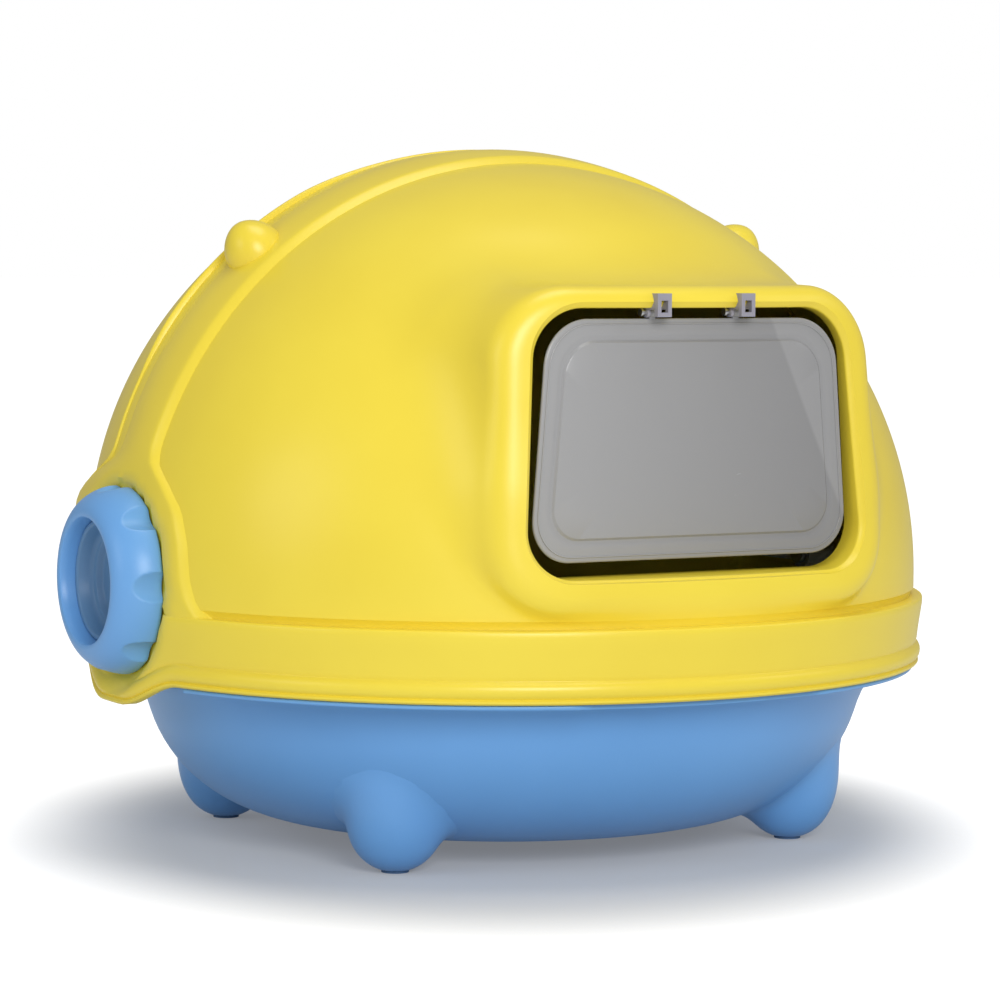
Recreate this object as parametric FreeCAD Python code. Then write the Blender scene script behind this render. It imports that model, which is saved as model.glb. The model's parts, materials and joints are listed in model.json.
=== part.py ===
import FreeCAD, Part
import math
import os

# Millimetres. +Z is up, the door faces -Y, the origin is on the floor under the middle of the box.
Vec = FreeCAD.Vector
X_AXIS = Vec(1, 0, 0)
Y_AXIS = Vec(0, 1, 0)
Z_AXIS = Vec(0, 0, 1)

# Plan: everything round is a circle in X, narrowed in Y by one share.
depth_share = 0.965
half_width = 256.0
half_depth = half_width * depth_share
big = 700.0

# Hood, from its rim up
rim_z = 106.3
band_tall = 41.2
step_z = rim_z + band_tall
band_out = 3.0
band_tuck = 0.5
band_edge = 1.0
step_round = 2.0
waist_rise = 16.5
bead_r = 3.3
bead_out = 1.5
bead_sink = 3.4
bead_low_z = rim_z + bead_sink
bead_pitch = 6.6
bead_high_z = bead_low_z + bead_pitch
rim_in = 5.6
wall = 3.2
skirt_wall = 2.5
equator_rise = 12.3
front_z = step_z + equator_rise
front_less = 7.5
front_b = half_depth - front_less
front_drop = 6.5
front_c = half_width - front_drop
rear_lift = 12.0
rear_z = front_z + rear_lift
rear_less = 1.8
rear_b = half_depth - rear_less
crown_rise = 3.0
rear_c = half_width + crown_rise - rear_lift
channel_sink = 1.6
channel_slope_share = 0.104
front_edge_y = -24.4
back_edge_y = 36.0
edge_bead_r = 3.0
frame_rise = 2.4
flare_foot_out = 59.6
flare_mid_out = 46.6
flare_mid_rise = 27.5
flare_high_out = 33.6
flare_high_rise = 60.5
flare_top_rise = 88.5
lobe_drop = 14.8
lobe_low_z = rim_z - lobe_drop
lobe_r = 88.0

# Doorway
door_rise = 27.4
door_tall = 149.5
door_low_z = step_z + door_rise
door_top_z = door_low_z + door_tall
door_half_low = 111.5
door_lean = 10.5
door_half_top = door_half_low - door_lean
door_corner = 28.0
visor_in = 16.0
visor_y = visor_in - half_depth
visor_mid_z = door_low_z + door_tall / 2
visor_round = 498.0
visor_tilt = 5.2
visor_side = 14.5
visor_half = door_half_low + visor_side
visor_lean = 12.0
visor_flare = 16.0
visor_back_half = visor_half + visor_flare
visor_over = 11.6
visor_top_z = door_top_z + visor_over
visor_back_rise = 2.0
visor_under = 17.9
visor_low_z = door_low_z - visor_under
visor_back_drop = 9.0
visor_low_back_z = visor_low_z - visor_back_drop
visor_deep = 81.0
visor_back_y = visor_y + visor_deep
visor_ahead = 30.0
visor_corner_grow = 14.0
visor_corner = door_corner + visor_corner_grow
lip_deep = 24.0
lip_back_y = visor_y + lip_deep
lip_grow = 8.0
doorway_in = 10.0

# Flap and its hinge
hinge_in = 15.5
hinge_y = visor_y + hinge_in
hinge_drop = 2.4
hinge_z = door_top_z - hinge_drop
flap_thick = 2.4
flap_side_gap = 6.3
flap_half_low = door_half_low - flap_side_gap
flap_half_top = door_half_top - flap_side_gap
flap_top_gap = 5.8
flap_top_z = door_top_z - flap_top_gap
flap_low_gap = 8.5
flap_low_z = door_low_z + flap_low_gap
flap_corner_less = 3.0
flap_corner = door_corner - flap_corner_less
panel_inset = 13.0
panel_rise = 0.7
ear_x = 27.6
ear_w = 3.8
ear_r = 3.2
pin_r = 1.5
pin_run = 0.05
pin_half = 6.4
pin_head_r = 2.3
pin_head_w = 1.2
pin_head_gap = 0.8
clip_w = 9.1
clip_cheek_w = 8.2
clip_sink = 1.4
clip_front_y = visor_y + clip_sink
clip_plate = 3.0
clip_deep = 18.1
clip_back_y = clip_front_y + clip_deep
clip_drop = 4.9
clip_low_z = door_top_z - clip_drop
clip_tall = 13.1
clip_top_z = clip_low_z + clip_tall
clip_slot_w = 4.4
clip_slot_drop = 4.0
clip_slot_top_z = clip_top_z - clip_slot_drop
clip_window_rise = 2.5
clip_window_low_z = clip_low_z + clip_window_rise
clip_side_gap = 0.2
clip_eye_r = 3.0
clip_eye_turn = 30.0
tongue_w = 5.0
tongue_drop = 6.4
tongue_low_z = clip_top_z - tongue_drop
tongue_thick = 2.2
barb_rise = 1.6
barb_len = 2.4
tongue_tip = 0.2
tongue_end_y = lip_back_y + barb_len + tongue_tip
slot_gap = 0.15

# Side latches
knob_rise = 56.5
knob_z = rim_z + knob_rise
knob_y = (front_edge_y + back_edge_y) / 2
seat_in = 7.2
seat_x = half_width - seat_in
knob_r = 55.2
seat_margin = 1.4
seat_r = knob_r + seat_margin
dish_rim = 3.0
dish_out_x = seat_x + dish_rim
knob_gap = 0.9
knob_depth = 26.5
knob_hole_r = 37.0
knob_back_r = 30.0
knob_ledge = 9.5
knob_side = 4.0
knob_back_edge = 2.0
knob_rim_w = 9.9
knob_rim_drop = 4.5
knob_crown_w = 3.0
knob_mouth_drop = 0.7
knob_taper = 1.8
knob_shoulder_w = 3.4
knob_shoulder_drop = 11.2
scallop_count = 8
scallop_r = 13.0
scallop_out = 8.8
scallop_depth = 12.0
cup_floor = 2.6
cup_step_r = 26.0
cup_flange = 3.0
cup_gap = 0.1
spindle_r = 6.0
spindle_flange_r = 14.0
spindle_flange = 1.4
spindle_run = 0.05
washer_r = 17.0
bush_r = 13.0
bush_len = 10.0
bush_sink = 1.0
cam_hub_r = 11.0
cam_hub_len = 13.0
cam_arm_w = 13.0
cam_arm_t = 4.6
cam_reach = 49.6
cam_toe = 4.6
cam_toe_out = 12.4
cam_gap = 0.2
cam_x0 = seat_x - wall - bush_len - cam_gap - cam_hub_len
screw_r = 2.5
screw_head_r = 7.6
screw_head = 2.8
screw_len = 12.0
screw_slot_half = 0.6
seat_play = 0.1

# Horns
horn_share = 0.6406
horn_x = half_width * horn_share
horn_r = 17.2
horn_tall = 24.0
horn_edge = 0.8
horn_mid_r = 14.2
horn_mid_share = 0.42
horn_tip_r = 7.4
horn_tip_drop = 4.0
horn_round_share = 0.6
horn_round_drop = 1.2
horn_seat = 1.1
horn_stem_r = 4.0
stem_end = 2.0
nut_r = 9.0
nut_thick = 1.8
nut_seat = 0.5

# Tray
lip_thick = 3.2
lip_in = 2.4
lip_half = half_width - lip_in
rim_gap = 1.1
rib_out = half_width - rim_in - rim_gap
rib_thick = 3.0
rib_tall = 9.0
rib_z = rim_z + rib_tall
tray_wall = 3.0
shelf_w = 31.6
bowl_half = lip_half - shelf_w
bowl_bend_w = 97.0
bowl_flat = bowl_half - bowl_bend_w
bowl_low_z = 11.7
bowl_upright = 4.4
bowl_bend_z = rim_z - bowl_upright
ear_gap_half = 62.0
ear_gap_in = 4.4
ear_gap_r = seat_x - ear_gap_in
grip_gap_half = 74.0
catch_half = 8.0
catch_cover = 1.7
catch_in_x = cam_x0 + cam_arm_t + catch_cover
catch_play = 1.3
catch_out_x = cam_x0 + cam_toe_out + catch_play
catch_plate = 4.0
catch_over = 1.0
catch_low_z = knob_z - cam_reach + cam_toe + catch_over
catch_thick = 3.6
foot_x_share = 0.6063
foot_y_share = 0.5158
foot_x = bowl_half * foot_x_share
foot_y = bowl_half * foot_y_share
foot_r = 27.6
foot_cut_z = 1.6
foot_cone_r = 22.0
foot_cone_top_r = 5.0
foot_cone_z = 40.0
foot_cone_tall = 42.0
pad_r = 8.0
pad_thick = 3.4


def save(name, shape):
    shape.exportStep(os.path.join("parts", name + ".step"))


def stretched(shape, x_share, y_share, z_share):
    matrix = FreeCAD.Matrix()
    matrix.scale(x_share, y_share, z_share)
    return shape.transformGeometry(matrix)


def ellipsoid(a, b, c, z):
    ball = stretched(Part.makeSphere(a), 1, b / a, c / a)
    return ball.translate(Vec(0, 0, z))


def channel_drop(y):
    """The crown channel climbs evenly to the back: how far it lies lower at one y."""
    return channel_slope_share * (back_edge_y - y)


def channel_body(less):
    """The rear dome, sunk a little and leaned so that its top falls towards the front."""
    ball = ellipsoid(*rear_size(channel_sink + less), 0)
    matrix = FreeCAD.Matrix()
    matrix.A32 = channel_slope_share
    return ball.transformGeometry(matrix).translate(Vec(0, 0, rear_z - channel_drop(0)))


def block(x0, x1, y0, y1, z0, z1):
    return Part.makeBox(x1 - x0, y1 - y0, z1 - z0, Vec(x0, y0, z0))


def rod(x0, x1, r, y, z):
    return Part.makeCylinder(r, x1 - x0, Vec(x0, y, z), X_AXIS)


def mirrored(shape):
    return shape.mirror(Vec(0, 0, 0), X_AXIS)


def ring(points):
    """Turn an outline of (radius, height) points about Z, then narrow it in Y."""
    corners = [Vec(r, 0, z) for r, z in points]
    face = Part.Face(Part.makePolygon(corners + corners[:1]))
    return stretched(face.revolve(Vec(0, 0, 0), Z_AXIS, 360), 1, depth_share, 1)


def door_outline(half_low, half_top, low_z, top_z, corner, y):
    """A doorway outline standing at y: straight sides that lean in, round corners."""
    corners = [Vec(-half_low, y, low_z), Vec(half_low, y, low_z),
               Vec(half_top, y, top_z), Vec(-half_top, y, top_z)]
    edges = []
    starts = []
    ends = []
    for i, here in enumerate(corners):
        before = (corners[i - 1] - here).normalize()
        after = (corners[(i + 1) % len(corners)] - here).normalize()
        half_angle = before.getAngle(after) / 2
        reach = corner / math.tan(half_angle)
        start = here + before * reach
        end = here + after * reach
        middle = (before + after).normalize()
        centre = here + middle * (corner / math.sin(half_angle))
        edges.append(Part.Arc(start, centre - middle * corner, end).toShape())
        starts.append(start)
        ends.append(end)
    wire = []
    for i, edge in enumerate(edges):
        wire.append(edge)
        wire.append(Part.makeLine(ends[i], starts[(i + 1) % len(edges)]))
    return Part.Wire(wire)


def door_prism(half_low, half_top, low_z, top_z, corner, y0, y1):
    outline = door_outline(half_low, half_top, low_z, top_z, corner, y0)
    return Part.Face(outline).extrude(Vec(0, y1 - y0, 0))


def edge_bead(y):
    """A round bead along the crown channel's edge at one y."""
    a, b, c = rear_size(channel_sink)
    reach = a * math.sqrt(1 - (y / b) ** 2)
    start = Vec(-reach, y, 0)
    spine = Part.Arc(start, Vec(0, y, reach), Vec(reach, y, 0)).toShape()
    section = Part.Wire(Part.Circle(start, Z_AXIS, edge_bead_r).toShape())
    hoop = Part.Wire(spine).makePipeShell([section], True, True)
    return stretched(hoop, 1, 1, c / a).translate(Vec(0, 0, rear_z - channel_drop(y)))


def rear_size(less):
    return half_width - less, rear_b - less, rear_c - less


def three_domes(less):
    """Front dome, crown channel and rear dome, each grown inward by less."""
    front = ellipsoid(half_width - less, front_b - less, front_c - less, front_z)
    channel = channel_body(less)
    rear = ellipsoid(*rear_size(less), rear_z)
    in_front = front_edge_y + less
    behind = back_edge_y + less
    front = front.common(block(-big, big, -big, in_front, -big, big))
    channel = channel.common(block(-big, big, in_front, behind, -big, big))
    rear = rear.common(block(-big, big, behind, big, -big, big))
    return front.fuse([channel, rear])


def band():
    top = half_width + band_out
    waist = half_width
    points = [(0, rim_z), (waist - band_tuck, rim_z)]
    for bead_z in (bead_low_z, bead_high_z):
        points += [(waist, bead_z - bead_r), (waist + bead_out, bead_z),
                   (waist, bead_z + bead_r)]
    points += [(waist, rim_z + waist_rise), (top, step_z - step_round),
               (top - band_edge, step_z), (0, step_z)]
    return ring(points)


def ear_frame():
    """The side plateau under each knob: it spreads forward and back as it comes down."""
    half = (back_edge_y - front_edge_y) / 2
    middle = (back_edge_y + front_edge_y) / 2
    spots = [(flare_foot_out, 0), (flare_mid_out, flare_mid_rise),
             (flare_high_out, flare_high_rise), (0, flare_top_rise)]
    arms = []
    ends = []
    for turn in (-1, 1):
        line = [Vec(0, middle + turn * (half + out), step_z + rise) for out, rise in spots]
        arm = Part.BSplineCurve()
        arm.interpolate(line)
        arms.append(arm.toShape())
        ends.append((line[0], line[-1]))
    (low_a, top_a), (low_b, top_b) = ends
    outline = Part.Wire([arms[0], Part.makeLine(top_a, top_b), arms[1],
                         Part.makeLine(low_b, low_a)])
    skin = ellipsoid(half_width + frame_rise, front_b + frame_rise,
                     front_c + frame_rise, front_z)
    return skin.common(Part.Face(outline).extrude(Vec(big, 0, 0)))


def rim_lobe():
    """The rounded tongue of the band that hangs down below each knob."""
    skirt = half_width - band_tuck
    tongue = ring([(0, lobe_low_z), (skirt, lobe_low_z), (skirt, bead_low_z), (0, bead_low_z)])
    return tongue.common(rod(0, big, lobe_r, knob_y, lobe_low_z + lobe_r))


def knob_dish():
    """The flat round seat behind a knob, with its rim."""
    return rod(seat_x - wall, dish_out_x, seat_r + dish_rim, knob_y, knob_z)


def visor():
    """The raised doorway frame: a bowed, slightly leaning face on a block that widens inward."""
    front = door_outline(visor_half, visor_half - visor_lean, visor_low_z, visor_top_z,
                         visor_corner, visor_y - visor_ahead)
    back = door_outline(visor_back_half, visor_back_half - visor_lean, visor_low_back_z,
                        visor_top_z + visor_back_rise, visor_corner, visor_back_y)
    solid = Part.makeLoft([front, back], True, True)
    lean = math.radians(visor_tilt)
    along = Vec(0, math.sin(lean), math.cos(lean))
    foot = Vec(0, visor_y + visor_round, visor_mid_z) - along * big
    return solid.common(Part.makeCylinder(visor_round, 2 * big, foot, along))


def doorway_room():
    """The space behind the doorway lip, wide enough for the flap to swing inward."""
    low = door_low_z - lip_grow
    top = door_top_z + lip_grow
    front = door_outline(door_half_low + lip_grow, door_half_top + lip_grow, low, top,
                         door_corner, lip_back_y)
    half = visor_back_half - doorway_in
    back = door_outline(half, half - visor_lean, low, top, door_corner, visor_back_y)
    return Part.makeLoft([front, back], True, True)


def clip_notch(x):
    side = clip_w / 2 + clip_side_gap
    notch = block(x - side, x + side, -big, clip_back_y, door_low_z, clip_top_z)
    half = tongue_w / 2 + slot_gap
    slot = block(x - half, x + half, clip_back_y, lip_back_y + lip_grow,
                 tongue_low_z - slot_gap, tongue_low_z + tongue_thick + slot_gap)
    pin_room = rod(x - pin_half - pin_head_w - pin_head_gap, x, pin_head_r + pin_head_gap,
                   hinge_y, hinge_z)
    return notch.fuse([slot, pin_room])


def horn_axis():
    """Foot point and outward direction of the right horn, square to the channel."""
    a, b, c = rear_size(channel_sink)
    y = (front_edge_y + back_edge_y) / 2
    height = c * math.sqrt(1 - (horn_x / a) ** 2 - (y / b) ** 2)
    foot = Vec(horn_x, y, rear_z - channel_drop(y) + height)
    up = height / c ** 2
    out = Vec(horn_x / a ** 2, y / b ** 2 - channel_slope_share * up, up)
    return foot, out.normalize()


def hollow_space():
    """Everything inside the hood wall, with a ledge at the step and a thicker rim."""
    ledge_z = step_z - wall
    domes = three_domes(wall).common(block(-big, big, -big, big, ledge_z, big))
    inside = half_width - skirt_wall
    rim = half_width - rim_in
    skirt = ring([(0, 0), (rim, 0), (rim, bead_high_z), (inside, rim_z + waist_rise),
                  (inside, ledge_z), (0, ledge_z)])
    return domes.fuse(skirt)


def latch_cuts():
    """Bores and seats of one spindle and one horn, on the right side."""
    foot, out = horn_axis()
    nut_face = foot - out * (wall - nut_seat)
    return [rod(0, big, spindle_r + spindle_run, knob_y, knob_z),
            rod(seat_x, big, seat_r, knob_y, knob_z),
            Part.makeCylinder(horn_r + seat_play, horn_tall, foot - out * horn_seat, out),
            Part.makeCylinder(horn_stem_r, horn_tall, foot - out * horn_tall, out),
            Part.makeCylinder(nut_r + seat_play, horn_tall, nut_face - out * horn_tall, out)]


def hood_shell():
    domes = three_domes(0.0).common(block(-big, big, -big, big, step_z, big))
    lobe = rim_lobe()
    ears = ear_frame()
    dish = knob_dish()
    hollow = hollow_space().cut([dish, mirrored(dish)])
    shell = domes.fuse([band(), lobe, mirrored(lobe), ears, mirrored(ears)]).cut(hollow)
    behind_lip = block(-big, big, lip_back_y, big, 0, big)
    frame = visor().cut(hollow.common(behind_lip))
    bush = rod(seat_x - wall - bush_len, seat_x - bush_sink, bush_r, knob_y, knob_z)
    shell = shell.fuse([frame, bush, mirrored(bush)])
    shell = shell.cut(doorway_room())
    shell = shell.cut(door_prism(door_half_low, door_half_top, door_low_z, door_top_z,
                                 door_corner, visor_y - visor_round, lip_back_y))
    cuts = latch_cuts()
    cuts += [mirrored(cut) for cut in cuts]
    for cut in cuts + [clip_notch(-ear_x), clip_notch(ear_x)]:
        shell = shell.cut(cut)
    above_flare = block(-big, big, -big, big, step_z + flare_top_rise, big)
    upper = above_flare.cut(three_domes(wall))
    for y in (front_edge_y, back_edge_y):
        shell = shell.fuse(edge_bead(y).common(upper))
    return shell.removeSplitter()


def bowl_points(less):
    """Floor edge, middle of the bend and top of the bend, grown inward by less."""
    low = bowl_low_z + less
    across = bowl_half - less - bowl_flat
    down = bowl_bend_z - low
    turn = math.sqrt(0.5)
    return [Vec(bowl_flat, 0, low),
            Vec(bowl_flat + across * turn, 0, bowl_bend_z - down * turn),
            Vec(bowl_half - less, 0, bowl_bend_z)]


def bowl_bend(less):
    curve = Part.BSplineCurve()
    curve.interpolate(Points=bowl_points(less), InitialTangent=X_AXIS, FinalTangent=Z_AXIS)
    return curve.toShape()


def bowl_room():
    """The space inside the bowl, up to the shelf, taken to the middle of the wall."""
    less = tray_wall / 2
    low, _, side = bowl_points(less)
    top = Vec(side.x, 0, rim_z)
    ends = [Vec(0, 0, rim_z), Vec(0, 0, low.z)]
    face = Part.Face(Part.Wire([bowl_bend(less), Part.makeLine(side, top),
                                Part.makeLine(top, ends[0]), Part.makeLine(*ends),
                                Part.makeLine(ends[1], low)]))
    return quarter(face)


def quarter(face):
    return stretched(face.revolve(Vec(0, 0, 0), Z_AXIS, 90), 1, depth_share, 1)


def bowl_shell():
    """A quarter of the bowl, shelf, lip and locating rib, turned as one wall."""
    outer = bowl_points(0.0)
    inner = bowl_points(tray_wall)
    rib_in = rib_out - rib_thick
    low_lip = rim_z - lip_thick
    over = [outer[2]] + [Vec(r, 0, z) for r, z in (
        (bowl_half, low_lip), (lip_half, low_lip), (lip_half, rim_z), (rib_out, rim_z),
        (rib_out, rib_z), (rib_in, rib_z), (rib_in, rim_z), (bowl_half - tray_wall, rim_z))]
    over.append(inner[2])
    floor = [inner[0], Vec(0, 0, inner[0].z), Vec(0, 0, outer[0].z), outer[0]]
    edges = [bowl_bend(0.0)] + [Part.makeLine(p, q) for p, q in zip(over, over[1:])]
    edges += [bowl_bend(tray_wall)] + [Part.makeLine(p, q) for p, q in zip(floor, floor[1:])]
    return quarter(Part.Face(Part.Wire(edges)))


def foot():
    ball = Part.makeSphere(foot_r, Vec(foot_x, foot_y, foot_r))
    cone = Part.makeCone(foot_cone_r, foot_cone_top_r, foot_cone_tall,
                         Vec(foot_x, foot_y, foot_cone_z), Z_AXIS)
    return ball.fuse(cone).common(block(0, big, 0, big, foot_cut_z, rim_z - lip_thick))


def feet_places():
    return [(sx * foot_x, sy * foot_y) for sx in (-1, 1) for sy in (-1, 1)]


def catch():
    """A hooked plate on the shelf: the latch toe swings under its ledge."""
    top = catch_low_z + catch_thick
    out_x = catch_out_x + catch_plate
    y0 = knob_y - catch_half
    y1 = knob_y + catch_half
    plate = block(catch_out_x, out_x, y0, y1, rim_z - tray_wall / 2, top)
    return plate.fuse(block(catch_in_x, out_x, y0, y1, catch_low_z, top))


def outside(r):
    """A quarter of the space around a circle, up to the rim and the rib's top."""
    return quarter(Part.Face(Part.makePolygon([Vec(x, 0, z) for x, z in (
        (r, 0), (big, 0), (big, big), (r, big), (r, 0))])))


def tray():
    pad_hole = Part.makeCylinder(pad_r, pad_thick, Vec(foot_x, foot_y, 0), Z_AXIS)
    leg = foot().cut(bowl_room()).cut(pad_hole)
    corner = bowl_shell().fuse(leg)
    side_gap = block(0, big, 0, ear_gap_half, 0, big)
    corner = corner.cut(outside(ear_gap_r).common(side_gap))
    grip_gap = block(0, grip_gap_half, 0, big, 0, big)
    grip = outside(rib_out).common(grip_gap).mirror(Vec(0, 0, 0), Y_AXIS)
    front = corner.mirror(Vec(0, 0, 0), Y_AXIS).cut(grip)
    half = corner.fuse([front, catch()])
    return half.fuse(mirrored(half)).removeSplitter()


def foot_pads():
    return Part.makeCompound([Part.makeCylinder(pad_r, pad_thick, Vec(x, y, 0), Z_AXIS)
                              for x, y in feet_places()])


def flap():
    half_t = flap_thick / 2
    sheet = door_prism(flap_half_low, flap_half_top, flap_low_z, flap_top_z, flap_corner,
                       hinge_y - half_t, hinge_y + half_t)
    raised = door_prism(flap_half_low - panel_inset, flap_half_top - panel_inset,
                        flap_low_z + panel_inset, flap_top_z - panel_inset,
                        flap_corner - panel_inset / 2, hinge_y - half_t - panel_rise,
                        hinge_y - half_t)
    body = sheet.fuse(raised)
    for x in (-ear_x, ear_x):
        x0 = x - ear_w / 2
        x1 = x + ear_w / 2
        ear = rod(x0, x1, ear_r, hinge_y, hinge_z)
        neck = block(x0, x1, hinge_y - half_t, hinge_y + half_t, flap_top_z - ear_r, hinge_z)
        bore = rod(x0, x1, pin_r + pin_run, hinge_y, hinge_z)
        body = body.fuse([ear, neck]).cut(bore)
    return body.removeSplitter()


def cheek_outline(x):
    """Side view of a clip: a round eye under the pin, so that the flap swings past it."""
    turn = math.radians(clip_eye_turn)
    side = clip_eye_r * math.cos(turn)
    shelf_z = hinge_z + clip_eye_r * math.sin(turn)
    plate_y = clip_front_y + clip_plate
    spots = [Vec(x, hinge_y - side, shelf_z), Vec(x, plate_y, shelf_z),
             Vec(x, plate_y, clip_low_z), Vec(x, clip_front_y, clip_low_z),
             Vec(x, clip_front_y, clip_top_z), Vec(x, clip_back_y, clip_top_z),
             Vec(x, clip_back_y, shelf_z), Vec(x, hinge_y + side, shelf_z)]
    edges = [Part.makeLine(a, b) for a, b in zip(spots, spots[1:])]
    edges.append(Part.Arc(spots[-1], Vec(x, hinge_y, hinge_z - clip_eye_r), spots[0]).toShape())
    return Part.Wire(edges)


def hinge_clip(x):
    plate = block(x - clip_w / 2, x + clip_w / 2, clip_front_y, clip_front_y + clip_plate,
                  clip_low_z, clip_top_z)
    outline = Part.Face(cheek_outline(x - clip_cheek_w / 2))
    cheeks = outline.extrude(Vec(clip_cheek_w, 0, 0))
    half = tongue_w / 2
    tongue = block(x - half, x + half, clip_back_y, tongue_end_y, tongue_low_z,
                   tongue_low_z + tongue_thick)
    barb = block(x - half, x + half, lip_back_y, lip_back_y + barb_len,
                 tongue_low_z, tongue_low_z + tongue_thick + barb_rise)
    slot_half = clip_slot_w / 2
    room = block(x - slot_half, x + slot_half, clip_front_y + clip_plate, clip_back_y,
                 clip_low_z - clip_eye_r, clip_slot_top_z)
    window = block(x - slot_half, x + slot_half, clip_front_y, clip_back_y,
                   clip_window_low_z, clip_slot_top_z)
    body = plate.fuse([cheeks, tongue, barb]).cut(room).cut(window)
    return body.cut(rod(x - clip_w, x + clip_w, pin_r, hinge_y, hinge_z)).removeSplitter()


def hinge_pin(x):
    shank = rod(x - pin_half, x + clip_cheek_w / 2, pin_r, hinge_y, hinge_z)
    head = rod(x - pin_half - pin_head_w, x - pin_half, pin_head_r, hinge_y, hinge_z)
    return shank.fuse(head).removeSplitter()


def turned(edges):
    """Turn a closed outline of (x, radius) edges about the knob axis."""
    shape = Part.Face(Part.Wire(edges)).revolve(Vec(0, 0, 0), X_AXIS, 360)
    return shape.translate(Vec(seat_x + knob_gap, knob_y, knob_z))


def poly_edges(points):
    spots = [Vec(x, 0, r) for x, r in points]
    return [Part.makeLine(a, b) for a, b in zip(spots, spots[1:])]


def knob():
    rim = Vec(knob_depth - knob_rim_drop, 0, knob_hole_r + knob_rim_w)
    back = Vec(knob_side, 0, knob_r)
    shoulder = Vec(knob_depth - knob_shoulder_drop, 0, knob_r - knob_shoulder_w)
    mouth = Vec(knob_depth - knob_mouth_drop, 0, knob_hole_r)
    crown = Vec(knob_depth, 0, knob_hole_r + knob_crown_w)
    edges = poly_edges([(mouth.x, mouth.z), (knob_ledge, knob_hole_r - knob_taper),
                        (knob_ledge, knob_back_r), (0, knob_back_r),
                        (0, knob_r - knob_back_edge), (back.x, back.z)])
    edges.append(Part.Arc(back, shoulder, rim).toShape())
    edges.append(Part.Arc(rim, crown, mouth).toShape())
    body = turned(edges)
    reach = knob_r + scallop_out
    for i in range(scallop_count):
        angle = 2 * math.pi * i / scallop_count
        grip = rod(seat_x, seat_x + knob_gap + scallop_depth, scallop_r,
                   knob_y + reach * math.cos(angle), knob_z + reach * math.sin(angle))
        body = body.cut(grip)
    return body.removeSplitter()


def knob_cup():
    """The dished insert inside the knob, with two steps down to its floor."""
    outer_r = knob_hole_r - knob_taper
    bottom = spindle_flange + cup_gap
    body = turned(poly_edges([
        (bottom, 0), (bottom, knob_back_r), (knob_ledge, knob_back_r), (knob_ledge, outer_r),
        (knob_ledge + cup_flange, outer_r), (knob_ledge + cup_flange, knob_back_r),
        (knob_ledge - cup_flange / 2, knob_back_r - cup_floor),
        (knob_ledge - cup_flange / 2, cup_step_r), (bottom + cup_floor, cup_step_r - cup_floor),
        (bottom + cup_floor, 0), (bottom, 0)]))
    return body.removeSplitter()


def spindle():
    face = seat_x + knob_gap
    flange = rod(face, face + spindle_flange + cup_gap, spindle_flange_r, knob_y, knob_z)
    shaft = rod(cam_x0 + cam_gap, face, spindle_r, knob_y, knob_z)
    hole = rod(cam_x0, cam_x0 + screw_len, screw_r, knob_y, knob_z)
    return flange.fuse(shaft).cut(hole).removeSplitter()


def friction_washer():
    solid = rod(seat_x, seat_x + knob_gap, washer_r, knob_y, knob_z)
    return solid.cut(rod(0, big, spindle_r + spindle_run, knob_y, knob_z))


def latch_cam():
    """Hub, arm and toe: at rest the arm points back, a quarter turn brings it down."""
    x0 = cam_x0
    low = knob_z - cam_arm_w / 2
    top = knob_z + cam_arm_w / 2
    end = knob_y + cam_reach
    hub = rod(x0, x0 + cam_hub_len, cam_hub_r, knob_y, knob_z)
    arm = block(x0, x0 + cam_arm_t, knob_y, end, low, top)
    toe = block(x0, x0 + cam_toe_out, end - cam_toe, end, low, top)
    bore = rod(x0, x0 + cam_hub_len, spindle_r, knob_y, knob_z)
    return hub.fuse([arm, toe]).cut(bore).removeSplitter()


def cam_screw():
    x0 = cam_x0
    head = rod(x0 - screw_head, x0, screw_head_r, knob_y, knob_z)
    shank = rod(x0, x0 + screw_len, screw_r, knob_y, knob_z)
    slot = block(x0 - screw_head, x0 - screw_head / 2, knob_y - screw_head_r,
                 knob_y + screw_head_r, knob_z - screw_slot_half, knob_z + screw_slot_half)
    return head.fuse(shank).cut(slot).removeSplitter()


def horn():
    low = -horn_seat
    shoulder = horn_tall - horn_tip_drop
    side = Part.Arc(Vec(horn_r, 0, horn_edge), Vec(horn_mid_r, 0, horn_tall * horn_mid_share),
                    Vec(horn_tip_r, 0, shoulder)).toShape()
    tip = Part.Arc(Vec(horn_tip_r, 0, shoulder),
                   Vec(horn_tip_r * horn_round_share, 0, horn_tall - horn_round_drop),
                   Vec(0, 0, horn_tall)).toShape()
    corners = [(0, horn_tall), (0, -(wall + nut_thick + stem_end)),
               (horn_stem_r, -(wall + nut_thick + stem_end)), (horn_stem_r, low),
               (horn_r, low), (horn_r, horn_edge)]
    spots = [Vec(r, 0, z) for r, z in corners]
    edges = [side, tip] + [Part.makeLine(a, b) for a, b in zip(spots, spots[1:])]
    body = Part.Face(Part.Wire(edges)).revolve(Vec(0, 0, 0), Z_AXIS, 360)
    return onto_horn_axis(body)


def onto_horn_axis(shape):
    foot, out = horn_axis()
    turn = FreeCAD.Rotation(Z_AXIS, out)
    return shape.transformGeometry(FreeCAD.Placement(foot, turn).toMatrix())


def horn_nut():
    low = -(wall - nut_seat) - nut_thick
    disc = Part.makeCylinder(nut_r, nut_thick, Vec(0, 0, low), Z_AXIS)
    hole = Part.makeCylinder(horn_stem_r, nut_thick, Vec(0, 0, low), Z_AXIS)
    return onto_horn_axis(disc.cut(hole))


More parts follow.
